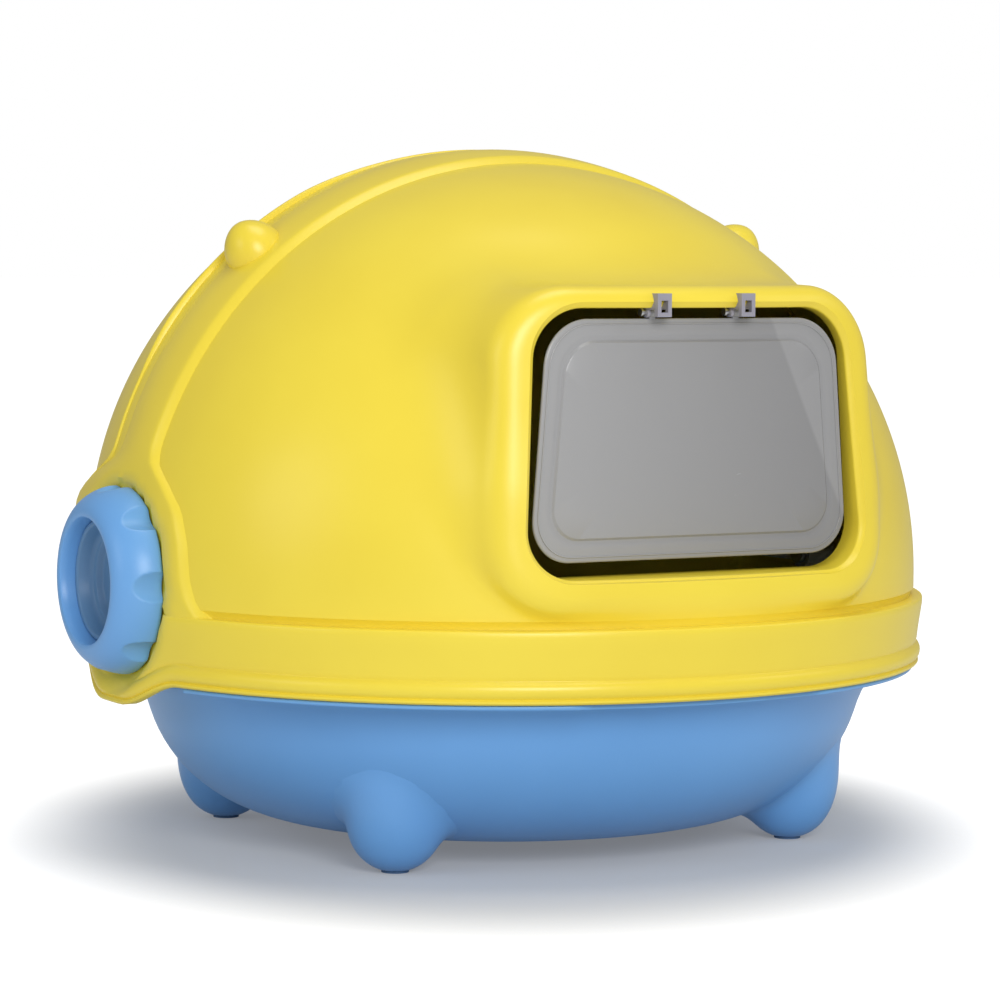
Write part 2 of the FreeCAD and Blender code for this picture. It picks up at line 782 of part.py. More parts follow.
def main():
    os.makedirs("parts", exist_ok=True)
    save("hood_shell", hood_shell())
    save("tray", tray())
    save("foot_pads", foot_pads())
    save("flap", flap())
    for side, x in (("left", -ear_x), ("right", ear_x)):
        save("hinge_clip_" + side, hinge_clip(x))
        save("hinge_pin_" + side, hinge_pin(x))
    pairs = {"knob": knob(), "knob_cup": knob_cup(), "spindle": spindle(),
             "friction_washer": friction_washer(), "latch_cam": latch_cam(),
             "cam_screw": cam_screw(), "horn": horn(), "horn_nut": horn_nut()}
    for name, shape in pairs.items():
        save(name + "_right", shape)
        save(name + "_left", mirrored(shape))


main()
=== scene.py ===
import bpy
import bmesh
import json
import math
import numpy as np
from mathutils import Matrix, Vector


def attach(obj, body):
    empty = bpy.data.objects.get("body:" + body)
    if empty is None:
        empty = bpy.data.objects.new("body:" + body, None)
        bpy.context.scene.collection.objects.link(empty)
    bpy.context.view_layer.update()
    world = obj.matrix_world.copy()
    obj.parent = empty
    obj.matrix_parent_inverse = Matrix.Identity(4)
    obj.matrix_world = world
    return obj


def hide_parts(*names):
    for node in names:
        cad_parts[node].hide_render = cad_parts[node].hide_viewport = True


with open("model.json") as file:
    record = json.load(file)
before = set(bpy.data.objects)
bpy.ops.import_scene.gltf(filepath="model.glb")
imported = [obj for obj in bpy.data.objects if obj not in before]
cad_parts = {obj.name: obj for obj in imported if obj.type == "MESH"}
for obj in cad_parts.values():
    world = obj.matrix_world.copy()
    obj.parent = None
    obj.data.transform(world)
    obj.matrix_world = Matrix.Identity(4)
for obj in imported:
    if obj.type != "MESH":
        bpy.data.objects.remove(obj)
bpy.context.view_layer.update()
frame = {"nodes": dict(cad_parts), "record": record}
cadNodes = frame["nodes"]
print("frame loaded,", len(cadNodes), "CAD nodes")

# node helpers, for the materials and for Geometry Nodes


def newTree(name, kind, inputs, outputs):
    # a node group; a number makes a float socket with that first value, a word names the kind
    tree = bpy.data.node_groups.new(name, kind)
    for side, sockets in (("INPUT", inputs), ("OUTPUT", outputs)):
        for label, value in sockets.items():
            isNumber = isinstance(value, float)
            made = tree.interface.new_socket(
                name=label, in_out=side,
                socket_type="NodeSocket" + ("Float" if isNumber else value))
            if isNumber:
                made.default_value = value
    return tree


def fill(tree, node, inputs):
    # an input takes a value, or a link given as (node, name of its output)
    for name, value in inputs.items():
        if isinstance(value, tuple) and isinstance(value[0], bpy.types.Node):
            tree.links.new(value[0].outputs[value[1]], node.inputs[name])
        else:
            node.inputs[name].default_value = value


def addNode(tree, kind, inputs=None, **settings):
    node = tree.nodes.new(kind)
    for name, value in settings.items():
        setattr(node, name, value)
    fill(tree, node, inputs or {})
    return node


def addMath(tree, operation, *values, clamp=False):
    return addNode(tree, "ShaderNodeMath", dict(enumerate(values)), operation=operation,
                   use_clamp=clamp)


def addRange(tree, value, old, new=(0, 1), smooth=False):
    # maps a value from the old span to the new one
    return addNode(tree, "ShaderNodeMapRange", {
        "Value": value, "From Min": old[0], "From Max": old[1], "To Min": new[0],
        "To Max": new[1]}, interpolation_type="SMOOTHSTEP" if smooth else "LINEAR")


# camera, floor and lights

shot = {
    "place": (-1.10649, -1.97204, 0.36040),
    "look": (0.48709, 0.87056, -0.06972),
    "lens": 132.8,
    "roll": 0.35,
    "clip": (0.05, 60),
}


def makeCamera():
    data = bpy.data.cameras.new("photoCamera")
    data.lens = shot["lens"]
    data.sensor_width = 36
    data.clip_start, data.clip_end = shot["clip"]
    camera = bpy.data.objects.new("photoCamera", data)
    camera.location = shot["place"]
    camera.rotation_mode = "QUATERNION"
    camera.rotation_quaternion = Vector(shot["look"]).to_track_quat("-Z", "Y")
    camera.rotation_mode = "XYZ"
    camera.rotation_euler.rotate_axis("Z", math.radians(shot["roll"]))
    bpy.context.scene.collection.objects.link(camera)
    bpy.context.scene.camera = camera


studio = {
    "roomLight": 0.345,
    "floorHalf": 30,
    "floorGrey": 0.52,
    "floorRough": 0.95,
    # the floor's glow near the object and far off; the weak glow near the object is painted
    # shadow
    "glow": (0.17, 0.92),
    "glowReach": (0.26, 0.46),
    "glowOnObject": 0.34,
    "shadowTurn": -29.2,
    "shadowNarrow": 0.78,
    "aim": (0, 0, 0.2),
    "lamps": {
        "keyFront": dict(at=(-0.65, -2.1, 0.95), size=0.9, power=23),
        "rightSoft": dict(at=(1.9, -1.2, 1.5), size=1.0, power=3.5),
        "leftSoft": dict(at=(-2.1, -0.3, 0.9), size=1.0, power=4.2),
        "topSoft": dict(at=(0.1, -0.4, 2.3), size=1.3, power=14),
    },
}


def makeWorld():
    # white behind the object, softer light on it
    world = bpy.data.worlds.new("paleStudio")
    bpy.context.scene.world = world
    world.use_nodes = True
    tree = world.node_tree
    seen = addNode(tree, "ShaderNodeLightPath")
    level = addRange(tree, (seen, "Is Camera Ray"), (0, 1), (studio["roomLight"], 1))
    fill(tree, tree.nodes["Background"], {
        "Color": (1, 1, 1, 1), "Strength": (level, "Result")})


def makeFloor():
    # painted shadow: the floor's glow is weaker under the object, so it is grey there and fades
    # to white in an oval that is turned towards the camera
    mesh = bpy.data.meshes.new("floor")
    half = studio["floorHalf"]
    mesh.from_pydata([(-half, -half, 0), (half, -half, 0), (half, half, 0), (-half, half, 0)],
                     [], [(0, 1, 2, 3)])
    floor = bpy.data.objects.new("floor", mesh)
    bpy.context.scene.collection.objects.link(floor)
    paint = bpy.data.materials.new("paleFloor")
    paint.use_nodes = True
    tree = paint.node_tree
    place = addNode(tree, "ShaderNodeTexCoord")
    oval = addNode(tree, "ShaderNodeMapping", {
        "Vector": (place, "Object"), "Scale": (studio["shadowNarrow"], 1, 1),
        "Rotation": (0, 0, math.radians(studio["shadowTurn"]))}, vector_type="TEXTURE")
    away = addNode(tree, "ShaderNodeVectorMath", {0: (oval, "Vector")}, operation="LENGTH")
    # painted shadow: less glow close to the object
    glow = addRange(tree, (away, "Value"), studio["glowReach"], studio["glow"], smooth=True)
    seen = addNode(tree, "ShaderNodeLightPath")
    share = addRange(tree, (seen, "Is Camera Ray"), (0, 1), (studio["glowOnObject"], 1))
    shown = addMath(tree, "MULTIPLY", (glow, "Result"), (share, "Result"))
    grey = studio["floorGrey"]
    fill(tree, tree.nodes["Principled BSDF"], {
        "Base Color": (grey, grey, grey, 1), "Roughness": studio["floorRough"],
        "Specular IOR Level": 0.0, "Emission Color": (1, 1, 1, 1),
        "Emission Strength": (shown, "Value")})
    mesh.materials.append(paint)


def makeStudio():
    makeWorld()
    for name, lamp in studio["lamps"].items():
        data = bpy.data.lights.new(name, "AREA")
        data.shape = "DISK"
        data.size = lamp["size"]
        data.energy = lamp["power"]
        light = bpy.data.objects.new(name, data)
        light.location = lamp["at"]
        way = Vector(studio["aim"]) - Vector(lamp["at"])
        light.rotation_euler = way.to_track_quat("-Z", "Y").to_euler()
        bpy.context.scene.collection.objects.link(light)
    makeFloor()
    bpy.context.scene.view_settings.view_transform = "Standard"


makeCamera()
makeStudio()
print("camera and studio ready")

# finishes


def addTone(tree, given, share):
    return addNode(tree, "ShaderNodeMix", {
        "Factor": (share, "Value"), "A": (given, "Deep tone"), "B": (given, "Light tone")},
        data_type="RGBA")


def mouldedSkin():
    # colour, roughness and height of moulded plastic: fine grain, slow mottling, light scuffs
    tree = newTree("mouldedSkin", "ShaderNodeTree",
                   {"Light tone": "Color", "Deep tone": "Color", "Grain size": 700.0,
                    "Mottle size": 7.0, "Roughness": 0.35, "Scuffs": 0.5},
                   {"Colour": "Color", "Roughness": "Float", "Height": "Float"})
    given = addNode(tree, "NodeGroupInput")
    place = addNode(tree, "ShaderNodeTexCoord")
    mottle = addNode(tree, "ShaderNodeTexNoise", {
        "Vector": (place, "Object"), "Scale": (given, "Mottle size"), "Detail": 3})
    grain = addNode(tree, "ShaderNodeTexNoise", {
        "Vector": (place, "Object"), "Scale": (given, "Grain size"), "Detail": 2})
    stretch = addNode(tree, "ShaderNodeMapping", {
        "Vector": (place, "Object"), "Scale": (60, 24, 190), "Rotation": (0.3, 0.5, 0.2)})
    scratch = addNode(tree, "ShaderNodeTexNoise", {
        "Vector": (stretch, "Vector"), "Scale": 1.6, "Detail": 4})
    thin = addRange(tree, (scratch, "Fac"), (0.66, 0.78))
    scuff = addMath(tree, "MULTIPLY", (thin, "Result"), (given, "Scuffs"))
    shape = addNode(tree, "ShaderNodeNewGeometry")
    # lighter along sharp convex edges
    sharpEdgeLighter = addRange(tree, (shape, "Pointiness"), (0.52, 0.62), (0, 0.25))
    ramp = addRange(tree, (mottle, "Fac"), (0.32, 0.68))
    lift = addMath(tree, "ADD", (ramp, "Result"), (sharpEdgeLighter, "Result"), clamp=True)
    tone = addTone(tree, given, lift)
    rub = addMath(tree, "MULTIPLY_ADD", (scuff, "Value"), 0.16, (given, "Roughness"))
    cloud = addMath(tree, "MULTIPLY_ADD", (mottle, "Fac"), 0.07, (rub, "Value"))
    bump = addMath(tree, "SUBTRACT", (grain, "Fac"), (scuff, "Value"))
    addNode(tree, "NodeGroupOutput", {
        "Colour": (tone, "Result"), "Roughness": (cloud, "Value"), "Height": (bump, "Value")})
    return tree


def smokePaintedLight():
    # the see-through sheet's colour with painted light: painted lighter to the left, painted
    # shade to the right, and a painted reflection as a pale wedge at top right
    tree = newTree("smokePaintedLight", "ShaderNodeTree",
                   {"Light tone": "Color", "Deep tone": "Color", "Painted reflection wedge": 0.30},
                   {"Colour": "Color"})
    given = addNode(tree, "NodeGroupInput")
    place = addNode(tree, "ShaderNodeTexCoord")
    split = addNode(tree, "ShaderNodeSeparateXYZ", {"Vector": (place, "Object")})
    # painted side light: the sheet runs from light on the left to shade on the right
    across = addRange(tree, (split, "X"), (-0.09, 0.085), (0.75, 0.08))
    lean = addMath(tree, "MULTIPLY_ADD", (split, "Z"), 0.45, (split, "X"))
    # painted reflection: a pale wedge at the sheet's top right
    paintedReflectionWedge = addRange(tree, (lean, "Value"), (0.193, 0.196), smooth=True)
    glow = addMath(tree, "MULTIPLY_ADD", (paintedReflectionWedge, "Result"), (given, "Painted reflection wedge"),
                   (across, "Result"), clamp=True)
    tone = addTone(tree, given, glow)
    addNode(tree, "NodeGroupOutput", {"Colour": (tone, "Result")})
    return tree


skinGroup = mouldedSkin()
smokePaintedLightGroup = smokePaintedLight()

finishes = {
    "lemonShell": dict(light=(0.90, 0.72, 0.060), deep=(0.85, 0.66, 0.050), rough=0.30,
                       scuffs=0.35, relief=0.03),
    "skyShell": dict(light=(0.165, 0.41, 0.80), deep=(0.145, 0.375, 0.75), rough=0.33,
                     scuffs=0.35, relief=0.03),
    # a darker blue than skyShell, for the cup set in the knob's bore
    "deepCup": dict(light=(0.13, 0.28, 0.48), deep=(0.11, 0.24, 0.43), rough=0.36,
                    scuffs=0.3, relief=0.03),
    # the smoke sheet's light and deep tones are also the two ends of its painted side light
    "smokePanel": dict(light=(0.40, 0.40, 0.405), deep=(0.235, 0.235, 0.24), rough=0.2,
                       scuffs=0.25, relief=0.015, tintAndPaintedLight="smoke"),
    "hingeGrey": dict(light=(0.34, 0.33, 0.38), deep=(0.26, 0.25, 0.30), rough=0.22,
                      scuffs=0.2, relief=0.03),
    "naturalAcetal": dict(light=(0.78, 0.77, 0.72), deep=(0.70, 0.69, 0.64), rough=0.42,
                          scuffs=0.4, relief=0.04),
    "darkRubber": dict(light=(0.085, 0.17, 0.32), deep=(0.065, 0.13, 0.26), rough=0.75,
                       scuffs=0.5, relief=0.12),
    "plainSteel": dict(light=(0.60, 0.61, 0.63), deep=(0.50, 0.51, 0.53), rough=0.30,
                       scuffs=0.9, relief=0.05, metal=1.0),
}


def makeFinish(name, values):
    finish = bpy.data.materials.new(name)
    finish.use_nodes = True
    tree = finish.node_tree
    tones = {"Light tone": (*values["light"], 1), "Deep tone": (*values["deep"], 1)}
    skin = addNode(tree, "ShaderNodeGroup", {
        **tones, "Roughness": values["rough"], "Scuffs": values["scuffs"]},
        node_tree=skinGroup)
    tintAndPaintedLight = skin
    # the smoke sheet's colour carries its painted side light and painted reflection
    if values.get("tintAndPaintedLight") == "smoke":
        tintAndPaintedLight = addNode(tree, "ShaderNodeGroup", tones, node_tree=smokePaintedLightGroup)
    bump = addNode(tree, "ShaderNodeBump", {
        "Height": (skin, "Height"), "Strength": values["relief"], "Distance": 0.001})
    fill(tree, tree.nodes["Principled BSDF"], {
        "Base Color": (tintAndPaintedLight, "Colour"), "Roughness": (skin, "Roughness"),
        "Metallic": values.get("metal", 0.0), "Normal": (bump, "Normal")})
    return finish


finishOf = {name: makeFinish(name, values) for name, values in finishes.items()}
print("finishes made:", len(finishOf))

# mesh helpers


def smoothMin(a, b, k):
    reach = np.maximum(k - np.abs(a - b), 0) / k
    return np.minimum(a, b) - reach * reach * k / 4


def smoothMax(a, b, k):
    return -smoothMin(-a, -b, k)


def ease(value, low, high):
    t = np.clip((value - low) / (high - low), 0, 1)
    return t * t * (3 - 2 * t)


def castOut(starts, ways, distance, near, far):
    # last point inside the form along each way, found by halving
    low = np.full(len(ways), near)
    high = np.full(len(ways), far)
    for _ in range(24):
        middle = (low + high) / 2
        inside = distance(starts + ways * middle[:, None]) < 0
        low = np.where(inside, middle, low)
        high = np.where(inside, high, middle)
    return starts + ways * high[:, None]


class Skin:
    # points and faces of one piece, gathered row by row
    def __init__(self):
        self.points = []
        self.faces = []
        self.count = 0

    def add(self, points):
        points = np.asarray(points, float).reshape(-1, 3)
        ids = np.arange(self.count, self.count + len(points))
        self.points.append(points)
        self.count += len(points)
        return ids

    def strip(self, below, above, closed=True):
        if closed:
            below = np.append(below, below[0])
            above = np.append(above, above[0])
        for a, b, c, d in zip(below[:-1], below[1:], above[1:], above[:-1]):
            self.faces.append((int(a), int(b), int(c), int(d)))

    def rows(self, rings, closed=True):
        made = [self.add(ring) for ring in rings]
        for below, above in zip(made, made[1:]):
            self.strip(below, above, closed)
        return made

    def cap(self, ring, point):
        centre = int(self.add([point])[0])
        for a, b in zip(ring, np.append(ring[1:], ring[0])):
            self.faces.append((int(a), int(b), centre))


def cleanMesh(mesh, crease):
    # merge doubled points, turn the faces outwards and keep sharp creases
    work = bmesh.new()
    work.from_mesh(mesh)
    bmesh.ops.remove_doubles(work, verts=work.verts, dist=1e-6)
    bmesh.ops.dissolve_degenerate(work, edges=work.edges, dist=1e-7)
    bmesh.ops.recalc_face_normals(work, faces=work.faces)
    work.to_mesh(mesh)
    work.free()
    mesh.shade_smooth()
    mesh.set_sharp_from_angle(angle=math.radians(crease))


def makePiece(name, skin, finish, body, crease=38):
    mesh = bpy.data.meshes.new(name)
    mesh.from_pydata(np.vstack(skin.points).tolist(), [], skin.faces)
    cleanMesh(mesh, crease)
    mesh.materials.append(finishOf[finish])
    piece = bpy.data.objects.new(name, mesh)
    bpy.context.scene.collection.objects.link(piece)
    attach(piece, body)
    return piece


# hood

hood = {
    "halfWidth": 0.256, "depthShare": 0.965, "rimZ": 0.1063, "stepZ": 0.1475,
    "footZ": 0.152, "wall": 0.0032,
    # each half of the dome: its depth, its height and where that height starts
    "front": (0.23954, 0.2495, 0.1598), "rear": (0.24524, 0.2468, 0.1718),
    "crownFront": -0.0244, "crownBack": 0.036, "turnOver": 0.002,
    "knobY": 0.0058, "knobZ": 0.1628, "seatX": 0.2488, "seatR": 0.0545,
    "seatGap": 0.0004, "seatSlope": 0.9,
    "lobeDrop": 0.0148, "lobeReach": (0.014, 0.068), "lobeOut": 0.0042, "lobeFade": 0.8,
    "columns": 300, "rows": 72, "doorColumns": 36, "doorRows": 45,
    # nearest and furthest that each surface is looked for
    "shellCast": (0.12, 0.36), "grooveCast": (0.12, 0.30), "bandCast": (0.15, 0.30),
}
visor = {
    "faceY": -0.23104, "midZ": 0.24965, "round": 0.498, "tilt": 5.2, "lean": 0.012,
    "half": 0.126, "low": 0.157, "top": 0.336, "corner": 0.042,
    "backHalf": 0.142, "backLow": 0.148, "backTop": 0.338,
    "frontY": -0.26104, "backY": -0.15004, "endY": -0.10, "edgeRound": 0.012,
    "blend": (0.006, 0.020), "blendZ": (0.165, 0.23),
    # outlines that the rows of faces follow: half width, lean, low, top, corner
    "brow": (0.1300, 0.012, 0.1548, 0.3362, 0.042),
    "root": (0.166, 0.026, 0.1528, 0.415, 0.080),
    "rootSteps": 24, "rootSpread": 1.5, "outerSteps": 9, "faceTop": 0.34,
}
doorHole = {"half": 0.1115, "lean": 0.0105, "low": 0.1749, "top": 0.3244, "corner": 0.028,
            "edgeRound": 0.0022, "backY": -0.207, "flange": 0.0032, "flangeRound": 0.0006}


def domeDistance(p, rise=0.0):
    # the front and the rear half turn into each other under the crown band
    x, y, z = p.T
    blend = ease(y, hood["crownFront"] - hood["turnOver"], hood["crownBack"])
    deep, tall, level = (front + (rear - front) * blend
                         for front, rear in zip(hood["front"], hood["rear"]))
    a, b, c = hood["halfWidth"] + rise, deep + rise, tall + rise
    up = np.maximum(z - level, 0)
    q = np.sqrt((x / a) ** 2 + (y / b) ** 2 + (up / c) ** 2) + 1e-9
    slope = np.sqrt((x / a ** 2) ** 2 + (y / b ** 2) ** 2 + (up / c ** 2) ** 2) / q + 1e-9
    return (q - 1) / slope


def outlineDistance(x, z, half, lean, low, top, corner):
    tall = top - low
    side = half - lean * np.clip((z - low) / tall, 0, 1)
    dx = np.abs(x) - side + corner
    dz = np.abs(z - (low + top) / 2) - tall / 2 + corner
    out = np.hypot(np.maximum(dx, 0), np.maximum(dz, 0))
    return out + np.minimum(np.maximum(dx, dz), 0) - corner


def visorDistance(p):
    x, y, z = p.T
    lean = math.radians(visor["tilt"])
    backward = (y - visor["faceY"] - visor["round"]) * math.cos(lean)
    backward -= (z - visor["midZ"]) * math.sin(lean)
    bow = np.hypot(x, backward) - visor["round"]
    deep = np.clip((y - visor["frontY"]) / (visor["backY"] - visor["frontY"]), 0, 1)
    half = visor["half"] + (visor["backHalf"] - visor["half"]) * deep
    low = visor["low"] + (visor["backLow"] - visor["low"]) * deep
    top = visor["top"] + (visor["backTop"] - visor["top"]) * deep
    side = outlineDistance(x, z, half, visor["lean"], low, top, visor["corner"])
    return np.maximum(smoothMax(bow, side, visor["edgeRound"]), y - visor["endY"])


def hoodDistance(p, rise=0.0):
    least, more = visor["blend"]
    blend = least + more * ease(p[:, 2], *visor["blendZ"])
    return smoothMin(domeDistance(p, rise), visorDistance(p), blend)


def seatKnob(p, sink):
    # flat round seat behind each knob
    away = np.hypot(p[:, 1] - hood["knobY"], p[:, 2] - hood["knobZ"])
    limit = hood["seatX"] - sink + hood["seatSlope"] * np.maximum(away - hood["seatR"], 0)
    p[:, 0] = np.clip(p[:, 0], -limit, limit)
    return p


def outlinePoints(a, b, half, lean, low, top, corner):
    # where the way from the outline's middle towards (a, b) crosses the outline
    middle = (low + top) / 2
    near = np.zeros(len(a))
    far = np.full(len(a), 1.6)
    for _ in range(30):
        share = (near + far) / 2
        x = a * half * share
        z = middle + b * (top - low) / 2 * share
        inside = outlineDistance(x, z, half, lean, low, top, corner) < 0
        near = np.where(inside, share, near)
        far = np.where(inside, far, share)
    return a * half * far, middle + b * (top - low) / 2 * far


def faceY(x, z):
    lean = math.tan(math.radians(visor["tilt"]))
    return visor["faceY"] + (z - visor["midZ"]) * lean + x * x / (2 * visor["round"])


def wayOf(azimuth, elevation):
    flat = np.cos(elevation)
    return np.stack([np.sin(azimuth) * flat, -np.cos(azimuth) * flat,
                     np.sin(elevation)], axis=-1)


def unit(v):
    return v / np.linalg.norm(v, axis=-1, keepdims=True)


def doorSquare():
    # the places on the rim of the doorway's patch in the dome grid, in order
    n, m = hood["doorColumns"], hood["doorRows"]
    spots = [(0, j) for j in range(-n, n)] + [(i, n) for i in range(m)]
    spots += [(m, j) for j in range(n, -n, -1)] + [(i, -n) for i in range(m, 0, -1)]
    return spots


def doorOutline(grow):
    return (doorHole["half"] + grow, doorHole["lean"], doorHole["low"] - grow,
            doorHole["top"] + grow, doorHole["corner"] + grow)


def doorShares():
    # where each place of the patch's rim stands, from -1 to 1 across and upwards
    spots = np.array(doorSquare(), float)
    return spots[:, 1] / hood["doorColumns"], spots[:, 0] / hood["doorRows"] * 2 - 1


def doorWays(shares):
    # rows of ways from the door's edge over the visor and out to the dome grid
    a, b = doorShares()
    start = np.array([0, 0, hood["footZ"]])
    door = np.array(doorOutline(doorHole["edgeRound"]))
    brow, root = np.array(visor["brow"]), np.array(visor["root"])
    shapes = [door + (brow - door) * share for share in shares]
    for k in range(1, visor["rootSteps"] + 1):
        shapes.append(brow + (root - brow) * (k / visor["rootSteps"]) ** visor["rootSpread"])
    rows = []
    for shape in shapes:
        x, z = outlinePoints(a, b, *shape)
        y = faceY(x, np.minimum(z, visor["faceTop"]))
        rows.append(unit(np.stack([x, y, z], axis=-1) - start))
    last = rows[-1]
    spots = np.array(doorSquare(), float)
    rim = wayOf(spots[:, 1] * 2 * math.pi / hood["columns"],
                np.radians(90) * spots[:, 0] / hood["rows"])
    for k in range(1, visor["outerSteps"]):
        rows.append(unit(last * (1 - k / visor["outerSteps"]) + rim * k / visor["outerSteps"]))
    return rows


band = {
    # height over the rim, distance out from the half width, in mm
    "low": [(0.0, -0.9), (0.5, 0.2), (1.3, 0.9), (2.2, 0.9), (2.8, 0.2), (3.2, -0.3),
            (3.7, 0.1), (4.6, 1.0), (6.0, 1.7), (7.8, 2.0), (9.6, 1.8), (11.2, 1.1),
            (12.2, 0.2), (12.8, -0.6), (13.5, -0.8), (14.4, -0.4), (16.0, 0.0)],
    # share of the way up to wallTop, distance out
    "wall": [(0.0, 0.0), (0.2, 0.5), (0.45, 1.3), (0.7, 2.2), (0.9, 2.9)],
    "wallTop": 0.1458,
    # height from the floor, distance out
    "ledge": [(146.3, 2.9), (147.0, 2.6), (147.35, 2.0), (147.5, 1.2)],
    # height from the floor, depth of the groove under the dome
    "groove": [(147.6, 1.9), (148.6, 1.9), (149.9, 1.5), (151.1, 0.7), (151.8, 0.2)],
    "grooveLeast": 0.35, "grooveSide": (0.15, 0.7),
    "inside": -2.6,
}


def rimZ(y):
    away = np.abs(y - hood["knobY"])
    return hood["rimZ"] - hood["lobeDrop"] * (1 - ease(away, *hood["lobeReach"]))


def levelRow(z, ways, distance, reach, wall):
    # points on a surface of the hood, looked for along the ways from its middle at height z
    starts = np.zeros((len(ways), 3))
    starts[:, 2] = z
    return seatKnob(castOut(starts, ways, distance, *reach), hood["seatGap"] + wall)


def bandRows(ways, wall):
    # rows from the rim up to the step, following the dip under each knob
    deep = hood["depthShare"] * hood["halfWidth"]
    around = 1 / np.sqrt((ways[:, 0] / hood["halfWidth"]) ** 2 + (ways[:, 1] / deep) ** 2)
    low = rimZ(ways[:, 1] * around)
    lobe = 1000 * hood["lobeOut"] * (hood["rimZ"] - low) / hood["lobeDrop"]
    tall = band["low"][-1][0]
    levels = [(low + h / 1000, out + lobe * (1 - (h / tall) ** hood["lobeFade"]))
              for h, out in band["low"]]
    top = low + tall / 1000
    levels += [(top + (band["wallTop"] - top) * share, out) for share, out in band["wall"]]
    levels += [(z / 1000, out) for z, out in band["ledge"]]
    if wall:
        levels = [(z, band["inside"]) for z, _ in levels]
    rows = []
    for z, out in levels:
        size = hood["halfWidth"] + out / 1000

        def bandDistance(p):
            q = np.hypot(p[:, 0] / size, p[:, 1] / (size * hood["depthShare"]))
            return (q - 1) * size

        rows.append(levelRow(z, ways, bandDistance, hood["bandCast"], wall))
    return rows


def grooveRows(ways, wall):
    # the shadow groove where the dome meets the step
    least = band["grooveLeast"]
    deepness = least + (1 - least) * ease(np.abs(ways[:, 0]), *band["grooveSide"])
    rows = []
    for z, sink in band["groove"]:
        cut = 0 if wall else sink / 1000 * deepness
        rows.append(levelRow(z / 1000, ways, lambda p: hoodDistance(p) + cut + wall,
                             hood["grooveCast"], wall))
    return rows


def hoodSkin(skin, wall):
    # one whole side of the shell: band, groove, dome grid and doorway patch
    n, m = hood["columns"], hood["rows"]

    def shellPoints(ways):
        return levelRow(hood["footZ"], ways, lambda p: hoodDistance(p) + wall,
                        hood["shellCast"], wall)

    around = wayOf(2 * math.pi * np.arange(n) / n, np.zeros(n))
    lower = skin.rows(bandRows(around, wall) + grooveRows(around, wall))
    turn, lift = np.meshgrid(2 * math.pi * np.arange(n) / n, np.radians(90) * np.arange(m) / m)
    keep = np.ones((m, n), bool)
    j = np.arange(n)
    across = np.minimum(j, n - j)
    keep[1:hood["doorRows"], across < hood["doorColumns"]] = False
    ids = np.full((m, n), -1)
    ids[keep] = skin.add(shellPoints(wayOf(turn[keep], lift[keep])))
    skin.strip(lower[-1], ids[0])
    for i in range(m - 1):
        for k in range(n):
            corners = (ids[i, k], ids[i, (k + 1) % n], ids[i + 1, (k + 1) % n], ids[i + 1, k])
            middle = min(k + 0.5, n - k - 0.5)
            if i < hood["doorRows"] and middle < hood["doorColumns"]:
                continue
            skin.faces.append(tuple(int(c) for c in corners))
    skin.cap(ids[-1], shellPoints(np.array([[0, 0, 1.0]]))[0])
    shares = (0.6, 0.8, 1.0) if wall else (0, 0.2, 0.4, 0.6, 0.8, 0.92, 1.0)
    rings = [skin.add(shellPoints(ways)) for ways in doorWays(shares)]
    rings.append(np.array([ids[i, k % n] for i, k in doorSquare()]))
    for inner, outer in zip(rings, rings[1:]):
        skin.strip(inner, outer)
    return lower[0], rings[0]


def doorSleeve(skin, outerRing, innerRing):
    # rounded door edge, the sleeve behind it and its folded flange
    edge, soft = doorHole["edgeRound"], doorHole["flangeRound"]
    wide, backY = doorHole["flange"], doorHole["backY"]

    def ring(grow, y=None, back=0.0):
        x, z = outlinePoints(*doorShares(), *doorOutline(grow))
        depth = faceY(x, z) + back if y is None else np.full_like(x, y)
        return np.stack([x, depth, z], axis=-1)

    rings = []
    for angle in np.radians((22, 45, 68, 90)):
        rings.append(ring(edge * (1 - math.sin(angle)), back=edge * (1 - math.cos(angle))))
    rings += [ring(0, backY - soft), ring(soft, backY), ring(wide - soft, backY),
              ring(wide, backY - soft), ring(wide + soft, back=hood["wall"] + hood["seatGap"])]
    made = skin.rows(rings)
    skin.strip(outerRing, made[0])
    skin.strip(made[-1], innerRing)


def makeHood():
    skin = Skin()
    outerRim, outerDoor = hoodSkin(skin, 0)
    innerRim, innerDoor = hoodSkin(skin, hood["wall"])
    skin.strip(outerRim, innerRim)
    doorSleeve(skin, outerDoor, innerDoor)
    piece = makePiece("domeShell", skin, "lemonShell", "hood")
    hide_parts("hood_shell")
    print("hood shell:", len(piece.data.polygons), "faces")


makeHood()

# crown band and side plateaus

